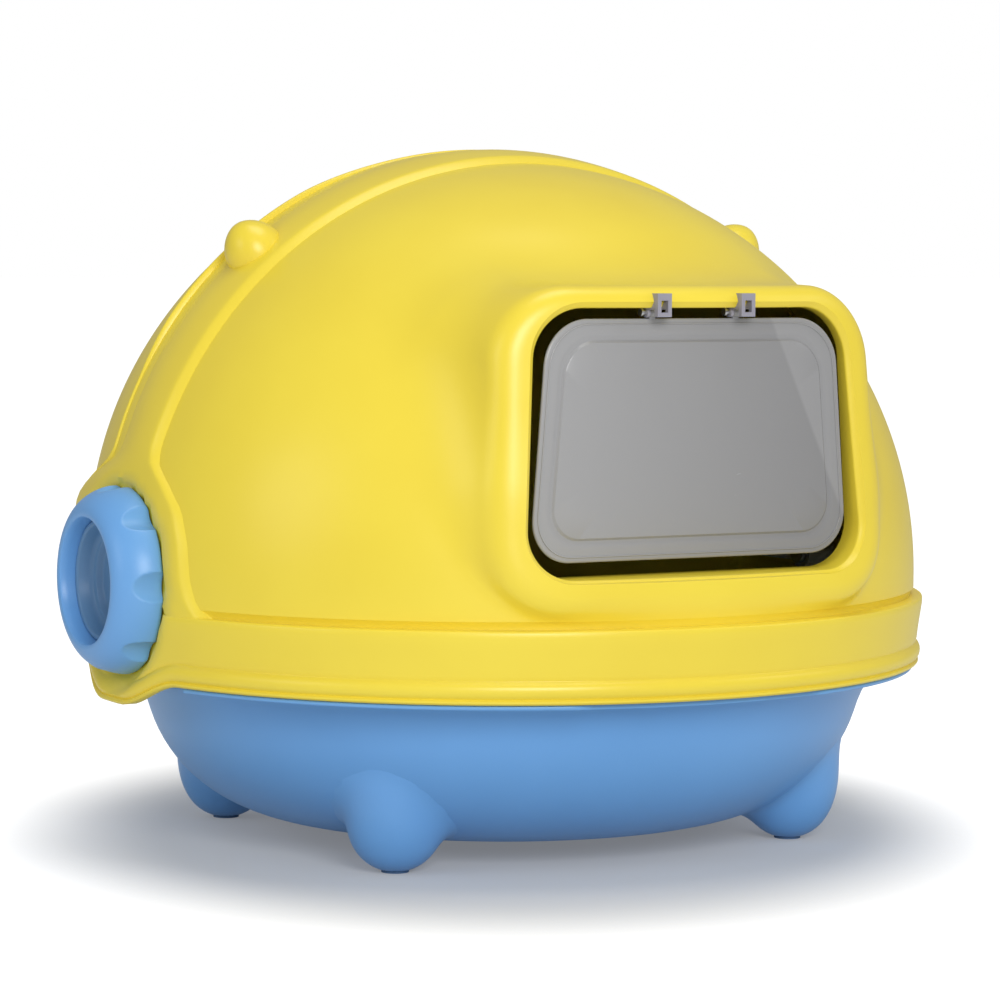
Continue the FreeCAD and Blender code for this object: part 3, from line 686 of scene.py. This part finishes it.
crown = {
    # distance back from each edge, height over the dome, in mm
    "frontStep": [(-2.2, -2.4), (-0.6, -0.5), (0.0, 0.15), (1.0, 1.1), (2.4, 2.3),
                  (3.8, 3.3), (4.8, 3.75), (6.2, 3.95), (8.5, 4.0)],
    "rearStep": [(-7.5, -1.5), (-5.0, -1.5), (-4.2, -1.2), (-3.4, 0.4), (-2.6, 1.1),
                 (-1.4, 1.2), (-0.2, 0.95), (0.5, 0.2), (1.0, -0.9), (1.8, -1.3),
                 (2.8, -2.4)],
    "plateauRear": [(-4.2, 2.9), (0.0, 0.0), (2.8, -2.4)],
    # extra width at each edge, height over the step, in mm
    "flare": [(59.6, 0.0), (52.0, 8.0), (47.5, 20.0), (43.0, 42.5), (34.5, 60.0),
              (17.0, 74.0), (4.0, 82.0), (0.0, 90.0)],
    # heights between which a form grows and fades, in m
    "onCrown": (0.205, 0.245),
    "ridge": dict(rise=0.0022, grow=(0.27, 0.31), fade=(0.375, 0.402), at=-0.0015, half=0.0021),
    "swell": dict(rise=0.0062, back=0.018, grow=(0.150, 0.185), fade=(0.202, 0.236),
                  end=0.0006),
    "lowRows": (0.1462, 0.1475, 0.1490, 0.1505), "aboutR": 0.2525, "thick": 0.0028,
    "cast": (0.08, 0.36), "middleColumns": 16, "stepDegrees": 1.2,
}


def growFade(z, form):
    return ease(z, *form["grow"]) * (1 - ease(z, *form["fade"]))


def crownRow(startZ, turn):
    # one row across the band, from the front edge to the back edge
    z = startZ + crown["aboutR"] * math.sin(turn)
    flare = np.array(crown["flare"]) / 1000
    spread = np.interp(z, hood["stepZ"] + flare[:, 1], flare[:, 0])
    swell, ridge = crown["swell"], crown["ridge"]
    swollen = growFade(z, swell)
    front = hood["crownFront"] - spread
    back = hood["crownBack"] + spread + swell["back"] * swollen
    frontStep = np.array(crown["frontStep"]) / 1000
    rearStep = np.array(crown["rearStep"]) / 1000
    plateau = np.array(crown["plateauRear"]) / 1000
    onCrown = ease(z, *crown["onCrown"])
    low = plateau[0, 1] / frontStep[-1, 1]
    frontRise = frontStep[:, 1] * (low + (1 - low) * onCrown)
    rearOut = rearStep[:, 0]
    rearRise = (rearStep[:, 1] * onCrown
                + np.interp(rearOut, plateau[:, 0], plateau[:, 1]) * (1 - onCrown)
                + ridge["rise"] * growFade(z, ridge)
                * (np.abs(rearOut - ridge["at"]) < ridge["half"])
                + swell["rise"] * swollen * (rearOut < swell["end"]))
    share = np.linspace(0, 1, crown["middleColumns"] + 2)[1:-1]
    start, end = front + frontStep[-1, 0], back + rearOut[0]
    y = np.concatenate([front + frontStep[:, 0], start + (end - start) * share, back + rearOut])
    middle = frontRise[-1] + (rearRise[0] - frontRise[-1]) * share ** 2
    rise = np.concatenate([frontRise, middle, rearRise])
    starts = np.stack([np.zeros_like(y), y, np.full_like(y, startZ)], axis=-1)
    way = np.array([math.cos(turn), 0.0, math.sin(turn)])
    return starts, np.tile(way, (len(y), 1)), rise


def makeCrownBand():
    stations = [(z, 0.0) for z in crown["lowRows"]]
    count = int(180 / crown["stepDegrees"])
    stations += [(hood["footZ"], math.pi * k / count) for k in range(count + 1)]
    stations += [(z, math.pi) for z in reversed(crown["lowRows"])]
    rows = [crownRow(*station) for station in stations]
    starts, ways, rise = (np.concatenate(parts) for parts in zip(*rows))
    skin = Skin()
    wide = len(rows[0][0])
    sheets = []
    for drop in (0.0, crown["thick"]):
        points = castOut(starts, ways, lambda p: hoodDistance(p, rise - drop), *crown["cast"])
        grid = seatKnob(points, drop).reshape(len(rows), wide, 3)
        sheets.append(skin.rows(grid, closed=False))
    top, under = np.array(sheets[0]), np.array(sheets[1])
    for edgeA, edgeB in ((top[0], under[0]), (top[-1], under[-1]),
                         (top[:, 0], under[:, 0]), (top[:, -1], under[:, -1])):
        skin.strip(edgeA, edgeB, closed=False)
    piece = makePiece("crownBand", skin, "lemonShell", "hood", crease=50)
    print("crown band:", len(piece.data.polygons), "faces")


makeCrownBand()

# tray

bowl = {
    "flatR": 0.125, "sideR": 0.222, "lowZ": 0.0117, "bendZ": 0.1019, "wall": 0.003,
    "rimZ": 0.1063, "lipZ": 0.1031, "lipR": 0.2536, "ribR": 0.2493, "frontR": 0.2495,
    "gapR": 0.2444, "aboutR": 0.25, "sideGap": (0.058, 0.066), "frontGap": (0.072, 0.080),
    "gapSlope": 0.15, "ribLow": 0.98, "flare": 0.009, "flareZ": 0.078,
    "lipRound": (0.0015, 0.0016), "floorShares": (0.3, 0.65),
    # distance out and up from the named edge, in mm
    "underLip": [(-20.1, -0.3), (-16.1, 0.0)],
    "ribRows": [(0.2, 0.4), (0.0, 1.2), (0.0, 7.8), (-0.5, 8.8), (-1.5, 9.0), (-2.5, 8.8),
                (-3.0, 7.8), (-3.0, 1.2), (-3.4, 0.0)],
    "mouthRows": [(3.0, 0.0), (0.8, -0.8), (0.0, -3.0)],
    "columns": 288, "bendRows": 22, "insideRows": 16,
}
foot = {"x": 0.1346, "y": 0.1145, "ball": 0.0276, "neckOut": 1.055, "neckZ": 0.049,
        "neckR": 0.0175, "neckBlend": 0.022, "cutZ": 0.0016, "blend": 0.012, "sink": 0.0006,
        "reach": 0.052, "startDeep": 0.005, "hideDeep": 0.0022, "columns": 84, "rows": 48,
        "cast": 0.07}
catch = {"y": (-0.0022, 0.0138), "edge": 0.0006,
         "blocks": [((0.2361, 0.2401), (0.1050, 0.1224)), ((0.2287, 0.2398), (0.1188, 0.1224))]}


def bendRow(turn, less):
    # a row on the bowl's curve: outside where less is 0, else that much further in
    z = bowl["bendZ"] - (bowl["bendZ"] - bowl["lowZ"] - less) * math.cos(turn)
    r = bowl["flatR"] + (bowl["sideR"] - less - bowl["flatR"]) * math.sin(turn)
    if not less:
        flared = (z - bowl["flareZ"]) / (bowl["lipZ"] - bowl["flareZ"])
        r += bowl["flare"] * min(max(flared, 0), 1) ** 2
    return r, z, "wall"


def edgeRows(r, z, spots, kind):
    return [(r + out / 1000, z + up / 1000, kind) for out, up in spots]


def trayRows():
    # (radius, height, kind) rows from under the bowl, over the lip and rib, to the floor inside
    shares, wall, rim = bowl["floorShares"], bowl["wall"], bowl["rimZ"]
    rows = [(share * bowl["flatR"], bowl["lowZ"], "wall") for share in (*shares, 1.0)]
    for k in range(1, bowl["bendRows"] + 1):
        rows.append(bendRow(math.pi / 2 * k / bowl["bendRows"], 0))
    rows += edgeRows(bowl["lipR"], bowl["lipZ"], bowl["underLip"], "wall")
    roundR, roundZ = bowl["lipRound"]
    for turn in np.radians((-90, -60, -30, 0, 30, 60, 90)):
        rows.append((bowl["lipR"] - roundR + roundR * math.cos(turn),
                     (rim + bowl["lipZ"]) / 2 + roundZ * math.sin(turn), "lip"))
    rows += edgeRows(bowl["ribR"], rim, [(1.2, 0.0)], "lip")
    rows += edgeRows(bowl["ribR"], rim, bowl["ribRows"], "rib")
    rows += edgeRows(bowl["sideR"] - wall, rim, bowl["mouthRows"], "wall")
    for k in range(bowl["insideRows"], -1, -1):
        rows.append(bendRow(math.pi / 2 * k / bowl["insideRows"], wall))
    rows += [(share * bowl["flatR"], bowl["lowZ"] + wall, "wall") for share in shares[::-1]]
    return rows


def makeTray():
    n = bowl["columns"]
    turn = 2 * math.pi * np.arange(n) / n
    x, y = np.sin(turn), -np.cos(turn)
    side = 1 - ease(np.abs(y) * bowl["aboutR"], *bowl["sideGap"])
    front = (1 - ease(np.abs(x) * bowl["aboutR"], *bowl["frontGap"])) * (y < 0)
    limit = bowl["lipR"] + (bowl["frontR"] - bowl["lipR"]) * front
    limit = limit + (bowl["gapR"] - limit) * side
    rings = []
    for r, z, kind in trayRows():
        size = np.full(n, r)
        level = np.full(n, z)
        if kind != "wall":
            # the lip and rib draw back at the front and behind each knob
            back = np.maximum(r - limit, 0)
            size = size - back - max(bowl["lipR"] - r, 0) * bowl["gapSlope"] * (back > 0)
        if kind == "rib":
            level = z - (z - bowl["rimZ"]) * side * bowl["ribLow"]
        rings.append(np.stack([x * size, y * size * hood["depthShare"], level], axis=-1))
    skin = Skin()
    made = skin.rows(rings)
    skin.cap(made[0], (0, 0, bowl["lowZ"]))
    skin.cap(made[-1], (0, 0, bowl["lowZ"] + bowl["wall"]))
    for sx in (-1, 1):
        for sy in (-1, 1):
            addFoot(skin, sx * foot["x"], sy * foot["y"])
        addCatch(skin, sx)
    piece = makePiece("footedTray", skin, "skyShell", "base", crease=45)
    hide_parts("tray")
    print("tray:", len(piece.data.polygons), "faces")


def bowlDistance(p):
    # a little short of the true distance, so that a march never steps past the wall
    r = np.hypot(p[:, 0], p[:, 1] / hood["depthShare"])
    down = bowl["bendZ"] - bowl["lowZ"]
    across = bowl["sideR"] - bowl["flatR"]
    q = np.hypot(np.maximum(r - bowl["flatR"], 0) / across,
                 np.maximum(bowl["bendZ"] - p[:, 2], 0) / down)
    return (q - 1) * min(across, down) * 0.97


def bowlOut(p):
    # outward direction of the bowl at each point
    step = 1e-4
    grad = [bowlDistance(p + move) - bowlDistance(p - move) for move in np.eye(3) * step]
    return unit(np.stack(grad, axis=-1) + 1e-12)


def addFoot(skin, x, y):
    # a closed bulb whose blend with the bowl ends just under the bowl's skin
    ballAt = np.array([x, y, foot["ball"]])
    neckAt = np.array([x * foot["neckOut"], y * foot["neckOut"], foot["neckZ"]])

    def footDistance(p):
        away = np.linalg.norm(p - ballAt, axis=1)
        neck = np.linalg.norm(p - neckAt, axis=1) - foot["neckR"]
        bulb = smoothMin(away - foot["ball"], neck, foot["neckBlend"])
        form = smoothMin(bulb, bowlDistance(p) + foot["sink"], foot["blend"])
        return np.maximum(np.maximum(form, away - foot["reach"]), foot["cutZ"] - p[:, 2])

    start = ballAt[None]
    for _ in range(4):
        deeper = -foot["startDeep"] - bowlDistance(start)
        start = start + bowlOut(start) * deeper[:, None]
    pole = bowlOut(ballAt[None])[0]
    side = unit(np.cross(pole, np.array([0.0, 0.0, 1.0])))
    third = np.cross(pole, side)
    turn = 2 * math.pi * np.arange(foot["columns"]) / foot["columns"]
    circle = np.cos(turn)[:, None] * side + np.sin(turn)[:, None] * third
    leans = math.pi * np.arange(1, foot["rows"]) / foot["rows"]
    fans = [math.cos(lean) * pole[None] + math.sin(lean) * circle for lean in leans]
    fans.append(np.stack([pole, -pole]))
    rows = [marchOut(np.tile(start, (len(ways), 1)), ways, footDistance, foot["cast"])
            for ways in fans]
    for row in rows:
        for _ in range(4):
            deep = np.maximum(-foot["hideDeep"] - bowlDistance(row), 0)
            row += bowlOut(row) * deep[:, None]
    made = skin.rows(rows[:-1])
    skin.cap(made[0], rows[-1][0])
    skin.cap(made[-1], rows[-1][1])


def marchOut(starts, ways, distance, far):
    # first point outside the form along each way, reached in short safe steps
    reach = np.zeros(len(ways))
    done = np.zeros(len(ways), bool)
    for _ in range(160):
        value = distance(starts + ways * reach[:, None])
        done |= (value > -1e-5) | (reach > far)
        reach = np.where(done, reach, reach + np.maximum(-value * 0.7, 4e-5))
    return starts + ways * reach[:, None]


def roundedBlock(skin, low, high, edge):
    # a block with rounded edges, as rings stacked along Z
    low, high = np.array(low), np.array(high)
    rows = []
    steps = np.radians((0, 30, 60, 90))
    stack = [(low[2] + edge * (1 - math.sin(t)), edge * (1 - math.cos(t))) for t in steps[::-1]]
    stack += [(high[2] - edge * (1 - math.sin(t)), edge * (1 - math.cos(t))) for t in steps]
    for z, inset in stack:
        ring = []
        for cx, cy, first in ((high[0], high[1], 0), (low[0], high[1], 90),
                              (low[0], low[1], 180), (high[0], low[1], 270)):
            for t in np.radians(first + np.array((0, 30, 60, 90))):
                mx = cx - edge * (1 if cx == high[0] else -1)
                my = cy - edge * (1 if cy == high[1] else -1)
                ring.append((mx + (edge - inset) * math.cos(t),
                             my + (edge - inset) * math.sin(t), z))
        rows.append(ring)
    made = skin.rows(rows)
    middle = (low + high) / 2
    skin.cap(made[0], (middle[0], middle[1], low[2]))
    skin.cap(made[-1], (middle[0], middle[1], high[2]))


def addCatch(skin, side):
    # an upright block with a toe that points inwards
    for x, z in catch["blocks"]:
        low, high = zip(sorted(side * end for end in x), catch["y"], z)
        roundedBlock(skin, low, high, catch["edge"])


makeTray()

# knobs and their cups

knobShape = {
    "back": 0.2497, "scallops": 8, "scallopR": 13.0, "scallopAt": 64.0, "scallopFrom": 39.0,
    # (depth, radius) in mm: the back, the rounding from side to crown, and the mouth
    "backRows": [(9.5, 30.0), (0.6, 30.0), (0.0, 30.6), (0.0, 47.2), (0.0, 53.4), (0.4, 54.4),
                 (1.2, 55.0), (2.4, 55.2)],
    "side": (4.0, 55.2), "crown": (26.5, 39.5), "power": 1.8, "rounds": 32,
    "mouthRows": [(26.4, 38.5), (26.1, 37.6), (25.2, 37.0), (21.5, 36.4), (16.0, 35.8),
                  (10.3, 35.2), (9.5, 34.6)],
    "columns": 384,
}
cupShape = {
    "rows": [(1.5, 29.2), (2.0, 30.0), (9.5, 30.0), (9.5, 34.6), (9.9, 35.1), (16.6, 35.2),
             (17.2, 34.8), (17.3, 33.4), (17.0, 32.6), (16.2, 32.1), (11.0, 30.6), (9.0, 29.6),
             (8.2, 28.5), (8.0, 27.0), (7.9, 26.3), (7.4, 25.7), (5.2, 24.4), (4.4, 23.6),
             (4.1, 22.6), (4.1, 17.0), (4.1, 9.0)],
    "columns": 144,
}


def knobProfile():
    # (depth, radius) once round the knob's section
    (side, r), (deep, crownR) = knobShape["side"], knobShape["crown"]
    power, rounds = knobShape["power"], knobShape["rounds"]
    spots = [*knobShape["backRows"], (side, r)]
    for k in range(1, rounds + 1):
        d = math.sin(math.pi / 2 * k / rounds)
        out = (1 - d ** power) ** (1 / power) if d < 1 else 0.0
        spots.append((side + (deep - side) * d, crownR + (r - crownR) * out))
    return spots + knobShape["mouthRows"]


def scallopLimit(turn):
    # radius left by the nearest finger scallop, which runs out through the rounding
    pitch = 2 * math.pi / knobShape["scallops"]
    off = (turn + pitch / 2) % pitch - pitch / 2
    at = knobShape["scallopAt"]
    inside = knobShape["scallopR"] ** 2 - (at * np.sin(off)) ** 2
    return np.where(inside > 0, at * np.cos(off) - np.sqrt(np.maximum(inside, 0)), 1000.0)


def turnedRings(side, spots, columns, scalloped=False):
    # rings round the knob's axis
    turn = 2 * math.pi * np.arange(columns) / columns
    rings = []
    for depth, r in spots:
        reach = np.full_like(turn, r)
        if scalloped and r > knobShape["scallopFrom"]:
            reach = np.minimum(reach, scallopLimit(turn))
        x = np.full_like(turn, side * (knobShape["back"] + depth / 1000))
        rings.append(np.stack([x, hood["knobY"] + reach / 1000 * np.cos(turn),
                               hood["knobZ"] + reach / 1000 * np.sin(turn)], axis=-1))
    return rings


def makeKnob(side, name):
    skin = Skin()
    made = skin.rows(turnedRings(side, knobProfile(), knobShape["columns"], True))
    skin.strip(made[-1], made[0])
    body = "latch_" + name
    piece = makePiece("gripKnob_" + name, skin, "skyShell", body, crease=32)
    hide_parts("knob_" + name)
    skin = Skin()
    rings = turnedRings(side, cupShape["rows"], cupShape["columns"])
    made = skin.rows(rings)
    for k in (0, -1):
        skin.cap(made[k], (rings[k][0, 0], hood["knobY"], hood["knobZ"]))
    cup = makePiece("gripCup_" + name, skin, "deepCup", body, crease=40)
    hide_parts("knob_cup_" + name)


for side, name in ((-1, "left"), (1, "right")):
    makeKnob(side, name)
print("knobs and cups made")

# horns

hornShape = {
    "foot": (0.164, 0.0058), "slide": 0.0036, "columns": 96,
    # the dome's form near the horn: half sizes, middle height, and its slope towards the back
    "dome": (0.2544, 0.24364, 0.2454), "domeZ": 0.1718, "slope": 0.104, "slopeEnd": 0.036,
    # height over the dome, radius, in mm: the stem under the shell, then the horn
    "stem": [(-7.0, 3.6), (-4.9, 4.0), (-3.6, 4.0)],
    "horn": [(-3.4, 4.6), (-3.4, 17.2), (-2.4, 17.9), (-0.6, 18.1), (1.4, 18.0), (3.5, 17.6),
             (6.0, 16.9), (8.4, 15.9), (10.8, 14.6), (13.0, 13.0), (15.0, 11.2), (16.8, 9.1),
             (18.2, 7.0), (19.3, 4.8), (20.0, 2.5)],
    "tip": 20.2,
}


def hornAxis():
    # the horn's foot on the dome, and the way straight out from there
    a, b, c = hornShape["dome"]
    x, y = hornShape["foot"]
    slope = hornShape["slope"]
    height = c * math.sqrt(1 - (x / a) ** 2 - (y / b) ** 2)
    drop = slope * (hornShape["slopeEnd"] - y)
    place = np.array([x, y, hornShape["domeZ"] - drop + height])
    out = np.array([x / a ** 2, y / b ** 2 - slope * height / c ** 2, height / c ** 2])
    return place, unit(out)


def makeHorn(side, name):
    place, out = hornAxis()
    flip = np.array([side, 1, 1])
    across = unit(np.cross(out, np.array([0.0, 1.0, 0.0])))
    third = np.cross(out, across)
    turn = 2 * math.pi * np.arange(hornShape["columns"]) / hornShape["columns"]
    circle = np.cos(turn)[:, None] * across + np.sin(turn)[:, None] * third
    lower = place + unit(np.array([out[2], 0.0, -out[0]])) * hornShape["slide"]
    skin = Skin()
    rings = []
    for base, spots in ((place, hornShape["stem"]), (lower, hornShape["horn"])):
        rings += [(base + out * high / 1000 + circle * r / 1000) * flip for high, r in spots]
    made = skin.rows(rings)
    skin.cap(made[0], (place + out * hornShape["stem"][0][0] / 1000) * flip)
    skin.cap(made[-1], (lower + out * hornShape["tip"] / 1000) * flip)
    piece = makePiece("roundHorn_" + name, skin, "lemonShell", "hood")
    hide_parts("horn_" + name)


for side, name in ((-1, "left"), (1, "right")):
    makeHorn(side, name)
print("horns made")

# flap

sheet = {
    "y": -0.21554, "thick": 0.0024, "half": 0.1052, "lean": 0.0105, "low": 0.1834,
    "top": 0.3185, "corner": 0.0253, "cornerLeast": 0.006, "leanEnd": 0.14,
    "columns": 40, "rows": 32,
    # (inset, depth behind the face) in mm: edge, groove and raised panel, then the back
    "frontRows": [(0.0, 0.8), (0.25, 0.3), (0.8, 0.0), (1.6, 0.0), (6.0, 0.0), (8.8, 0.0),
                  (9.6, 0.25), (10.6, 0.7), (12.0, 0.7), (12.7, 0.1), (13.0, -0.4),
                  (13.4, -0.7), (30.0, -0.7), (48.0, -0.7), (60.0, -0.7)],
    "backRows": [(0.0, -0.8), (0.25, -0.3), (0.8, 0.0), (30.0, 0.0), (60.0, 0.0)],
    "earX": 0.0276, "earR": 0.0032, "earW": 0.0038, "earEdge": 0.0004, "earZ": 0.3220,
    "boreR": 0.00155, "earColumns": 40, "stalkLow": 0.3155, "stalkTop": 0.3208,
    "stalkEdge": 0.0003, "stalkInset": 0.0001,
}


def sheetRing(inset, y):
    n, m = sheet["columns"], sheet["rows"]
    spots = [(0, j) for j in range(-n, n)] + [(i, n) for i in range(m)]
    spots += [(m, j) for j in range(n, -n, -1)] + [(i, -n) for i in range(m, 0, -1)]
    b, a = np.array(spots, float).T
    corner = max(sheet["corner"] - inset * 0.5, sheet["cornerLeast"])
    x, z = outlinePoints(a / n, b / m * 2 - 1, sheet["half"] - inset,
                         sheet["lean"] * (1 - inset / sheet["leanEnd"]),
                         sheet["low"] + inset, sheet["top"] - inset, corner)
    return np.stack([x, np.full_like(x, y), z], axis=-1)


def sheetFace(skin, face, spots):
    # rows from the edge of one face to its middle, which is capped
    middle = (sheet["low"] + sheet["top"]) / 2
    made = skin.rows([sheetRing(inset / 1000, face + y / 1000) for inset, y in spots])
    skin.cap(made[-1], (0, face + spots[-1][1] / 1000, middle))
    return made[0]


def addEar(skin, x):
    # a ring that turns on the hinge pin
    turn = 2 * math.pi * np.arange(sheet["earColumns"]) / sheet["earColumns"]
    half, r, edge, bore = (sheet[key] for key in ("earW", "earR", "earEdge", "boreR"))
    half = half / 2
    rings = []
    for dx, reach in ((-half, bore), (-half, r - edge), (-half + edge, r), (half - edge, r),
                      (half, r - edge), (half, bore)):
        rings.append(np.stack([np.full_like(turn, x + dx), sheet["y"] + reach * np.cos(turn),
                               sheet["earZ"] + reach * np.sin(turn)], axis=-1))
    made = skin.rows(rings)
    skin.strip(made[-1], made[0])


def makeFlap():
    front = sheet["y"] - sheet["thick"] / 2
    back = sheet["y"] + sheet["thick"] / 2
    skin = Skin()
    outer = sheetFace(skin, front, sheet["frontRows"])
    inner = sheetFace(skin, back, sheet["backRows"])
    skin.strip(outer, inner)
    half, inset = sheet["earW"] / 2, sheet["stalkInset"]
    for x in (-sheet["earX"], sheet["earX"]):
        addEar(skin, x)
        roundedBlock(skin, (x - half, front + inset, sheet["stalkLow"]),
                     (x + half, back - inset, sheet["stalkTop"]), sheet["stalkEdge"])
    piece = makePiece("swingFlap", skin, "smokePanel", "door", crease=35)
    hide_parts("flap")
    print("flap:", len(piece.data.polygons), "faces")


makeFlap()

# beads and pads grown with Geometry Nodes

edgeBead = {"inset": 0.0030, "lift": 0.0001, "sizes": {"Bead radius": 0.00045, "Step": 0.003}}
padSizes = {"Pad radius": 0.008, "Pad height": 0.0034}


def openTree(name, sizes):
    tree = newTree(name, "GeometryNodeTree",
                   {"Geometry": "Geometry", **sizes, "Finish": "Material"},
                   {"Geometry": "Geometry"})
    return tree, addNode(tree, "NodeGroupInput")


def closeTree(tree, given, shape):
    real = addNode(tree, "GeometryNodeRealizeInstances", {"Geometry": shape})
    paint = addNode(tree, "GeometryNodeSetMaterial", {
        "Geometry": (real, "Geometry"), "Material": (given, "Finish")})
    addNode(tree, "NodeGroupOutput", {"Geometry": (paint, "Geometry")})
    return tree


def beadTree():
    # a round bead swept along a path of edges
    tree, given = openTree("sweptBead", edgeBead["sizes"])
    path = addNode(tree, "GeometryNodeMeshToCurve", {"Mesh": (given, "Geometry")})
    even = addNode(tree, "GeometryNodeResampleCurve", {
        "Curve": (path, "Curve"), "Length": (given, "Step")}, mode="LENGTH")
    circle = addNode(tree, "GeometryNodeCurvePrimitiveCircle", {
        "Resolution": 12, "Radius": (given, "Bead radius")})
    sweep = addNode(tree, "GeometryNodeCurveToMesh", {
        "Curve": (even, "Curve"), "Profile Curve": (circle, "Curve"), "Fill Caps": True})
    return closeTree(tree, given, (sweep, "Mesh"))


def padTree():
    # a round pad on every point
    tree, given = openTree("padPerPoint", padSizes)
    ring = addNode(tree, "GeometryNodeCurvePrimitiveCircle", {
        "Resolution": 56, "Radius": (given, "Pad radius")})
    disc = addNode(tree, "GeometryNodeFillCurve", {"Curve": (ring, "Curve")})
    solid = addNode(tree, "GeometryNodeExtrudeMesh", {
        "Mesh": (disc, "Mesh"), "Offset Scale": (given, "Pad height"), "Individual": False})
    flipped = addNode(tree, "GeometryNodeFlipFaces", {"Mesh": (disc, "Mesh")})
    whole = addNode(tree, "GeometryNodeJoinGeometry", {"Geometry": (flipped, "Mesh")})
    fill(tree, whole, {"Geometry": (solid, "Mesh")})
    weld = addNode(tree, "GeometryNodeMergeByDistance", {
        "Geometry": (whole, "Geometry"), "Distance": 1e-6})
    spread = addNode(tree, "GeometryNodeInstanceOnPoints", {
        "Points": (given, "Geometry"), "Instance": (weld, "Geometry")})
    return closeTree(tree, given, (spread, "Instances"))


def bakePiece(name, tree, points, edges, sizes, finish, body):
    mesh = bpy.data.meshes.new(name)
    mesh.from_pydata([tuple(p) for p in points], edges, [])
    piece = bpy.data.objects.new(name, mesh)
    bpy.context.scene.collection.objects.link(piece)
    grow = piece.modifiers.new("grow", "NODES")
    grow.node_group = tree
    chosen = {**sizes, "Finish": finishOf[finish]}
    for item in tree.interface.items_tree:
        if item.in_out == "INPUT" and item.name in chosen:
            grow[item.identifier] = chosen[item.name]
    graph = bpy.context.evaluated_depsgraph_get()
    baked = bpy.data.meshes.new_from_object(piece.evaluated_get(graph))
    piece.modifiers.remove(grow)
    piece.data = baked
    cleanMesh(baked, 40)
    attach(piece, body)
    return piece


path = sheetRing(edgeBead["inset"], sheet["y"] - sheet["thick"] / 2 - edgeBead["lift"])
loop = [(i, (i + 1) % len(path)) for i in range(len(path))]
bakePiece("flapEdgeBead", beadTree(), path, loop, edgeBead["sizes"],
          "smokePanel", "door")
padSpots = [(sx * foot["x"], sy * foot["y"], 0.0) for sx in (-1, 1) for sy in (-1, 1)]
pads = bakePiece("softPads", padTree(), padSpots, [], padSizes,
                 "darkRubber", "base")
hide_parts("foot_pads")
print("beads and pads grown")

# small inner parts keep their CAD meshes

slotFinish = {"yellow_shell": "lemonShell", "blue_shell": "skyShell", "blue_cup": "deepCup",
              "smoke_flap": "smokePanel", "grey_clip": "hingeGrey",
              "natural_plastic": "naturalAcetal", "pin_steel": "plainSteel",
              "pad_rubber": "darkRubber"}
for part in frame["record"]["subparts"]:
    node = cadNodes[part["node"]]
    node.data.materials.clear()
    node.data.materials.append(finishOf[slotFinish[part["material_slot"]]])
print("CAD nodes finished")
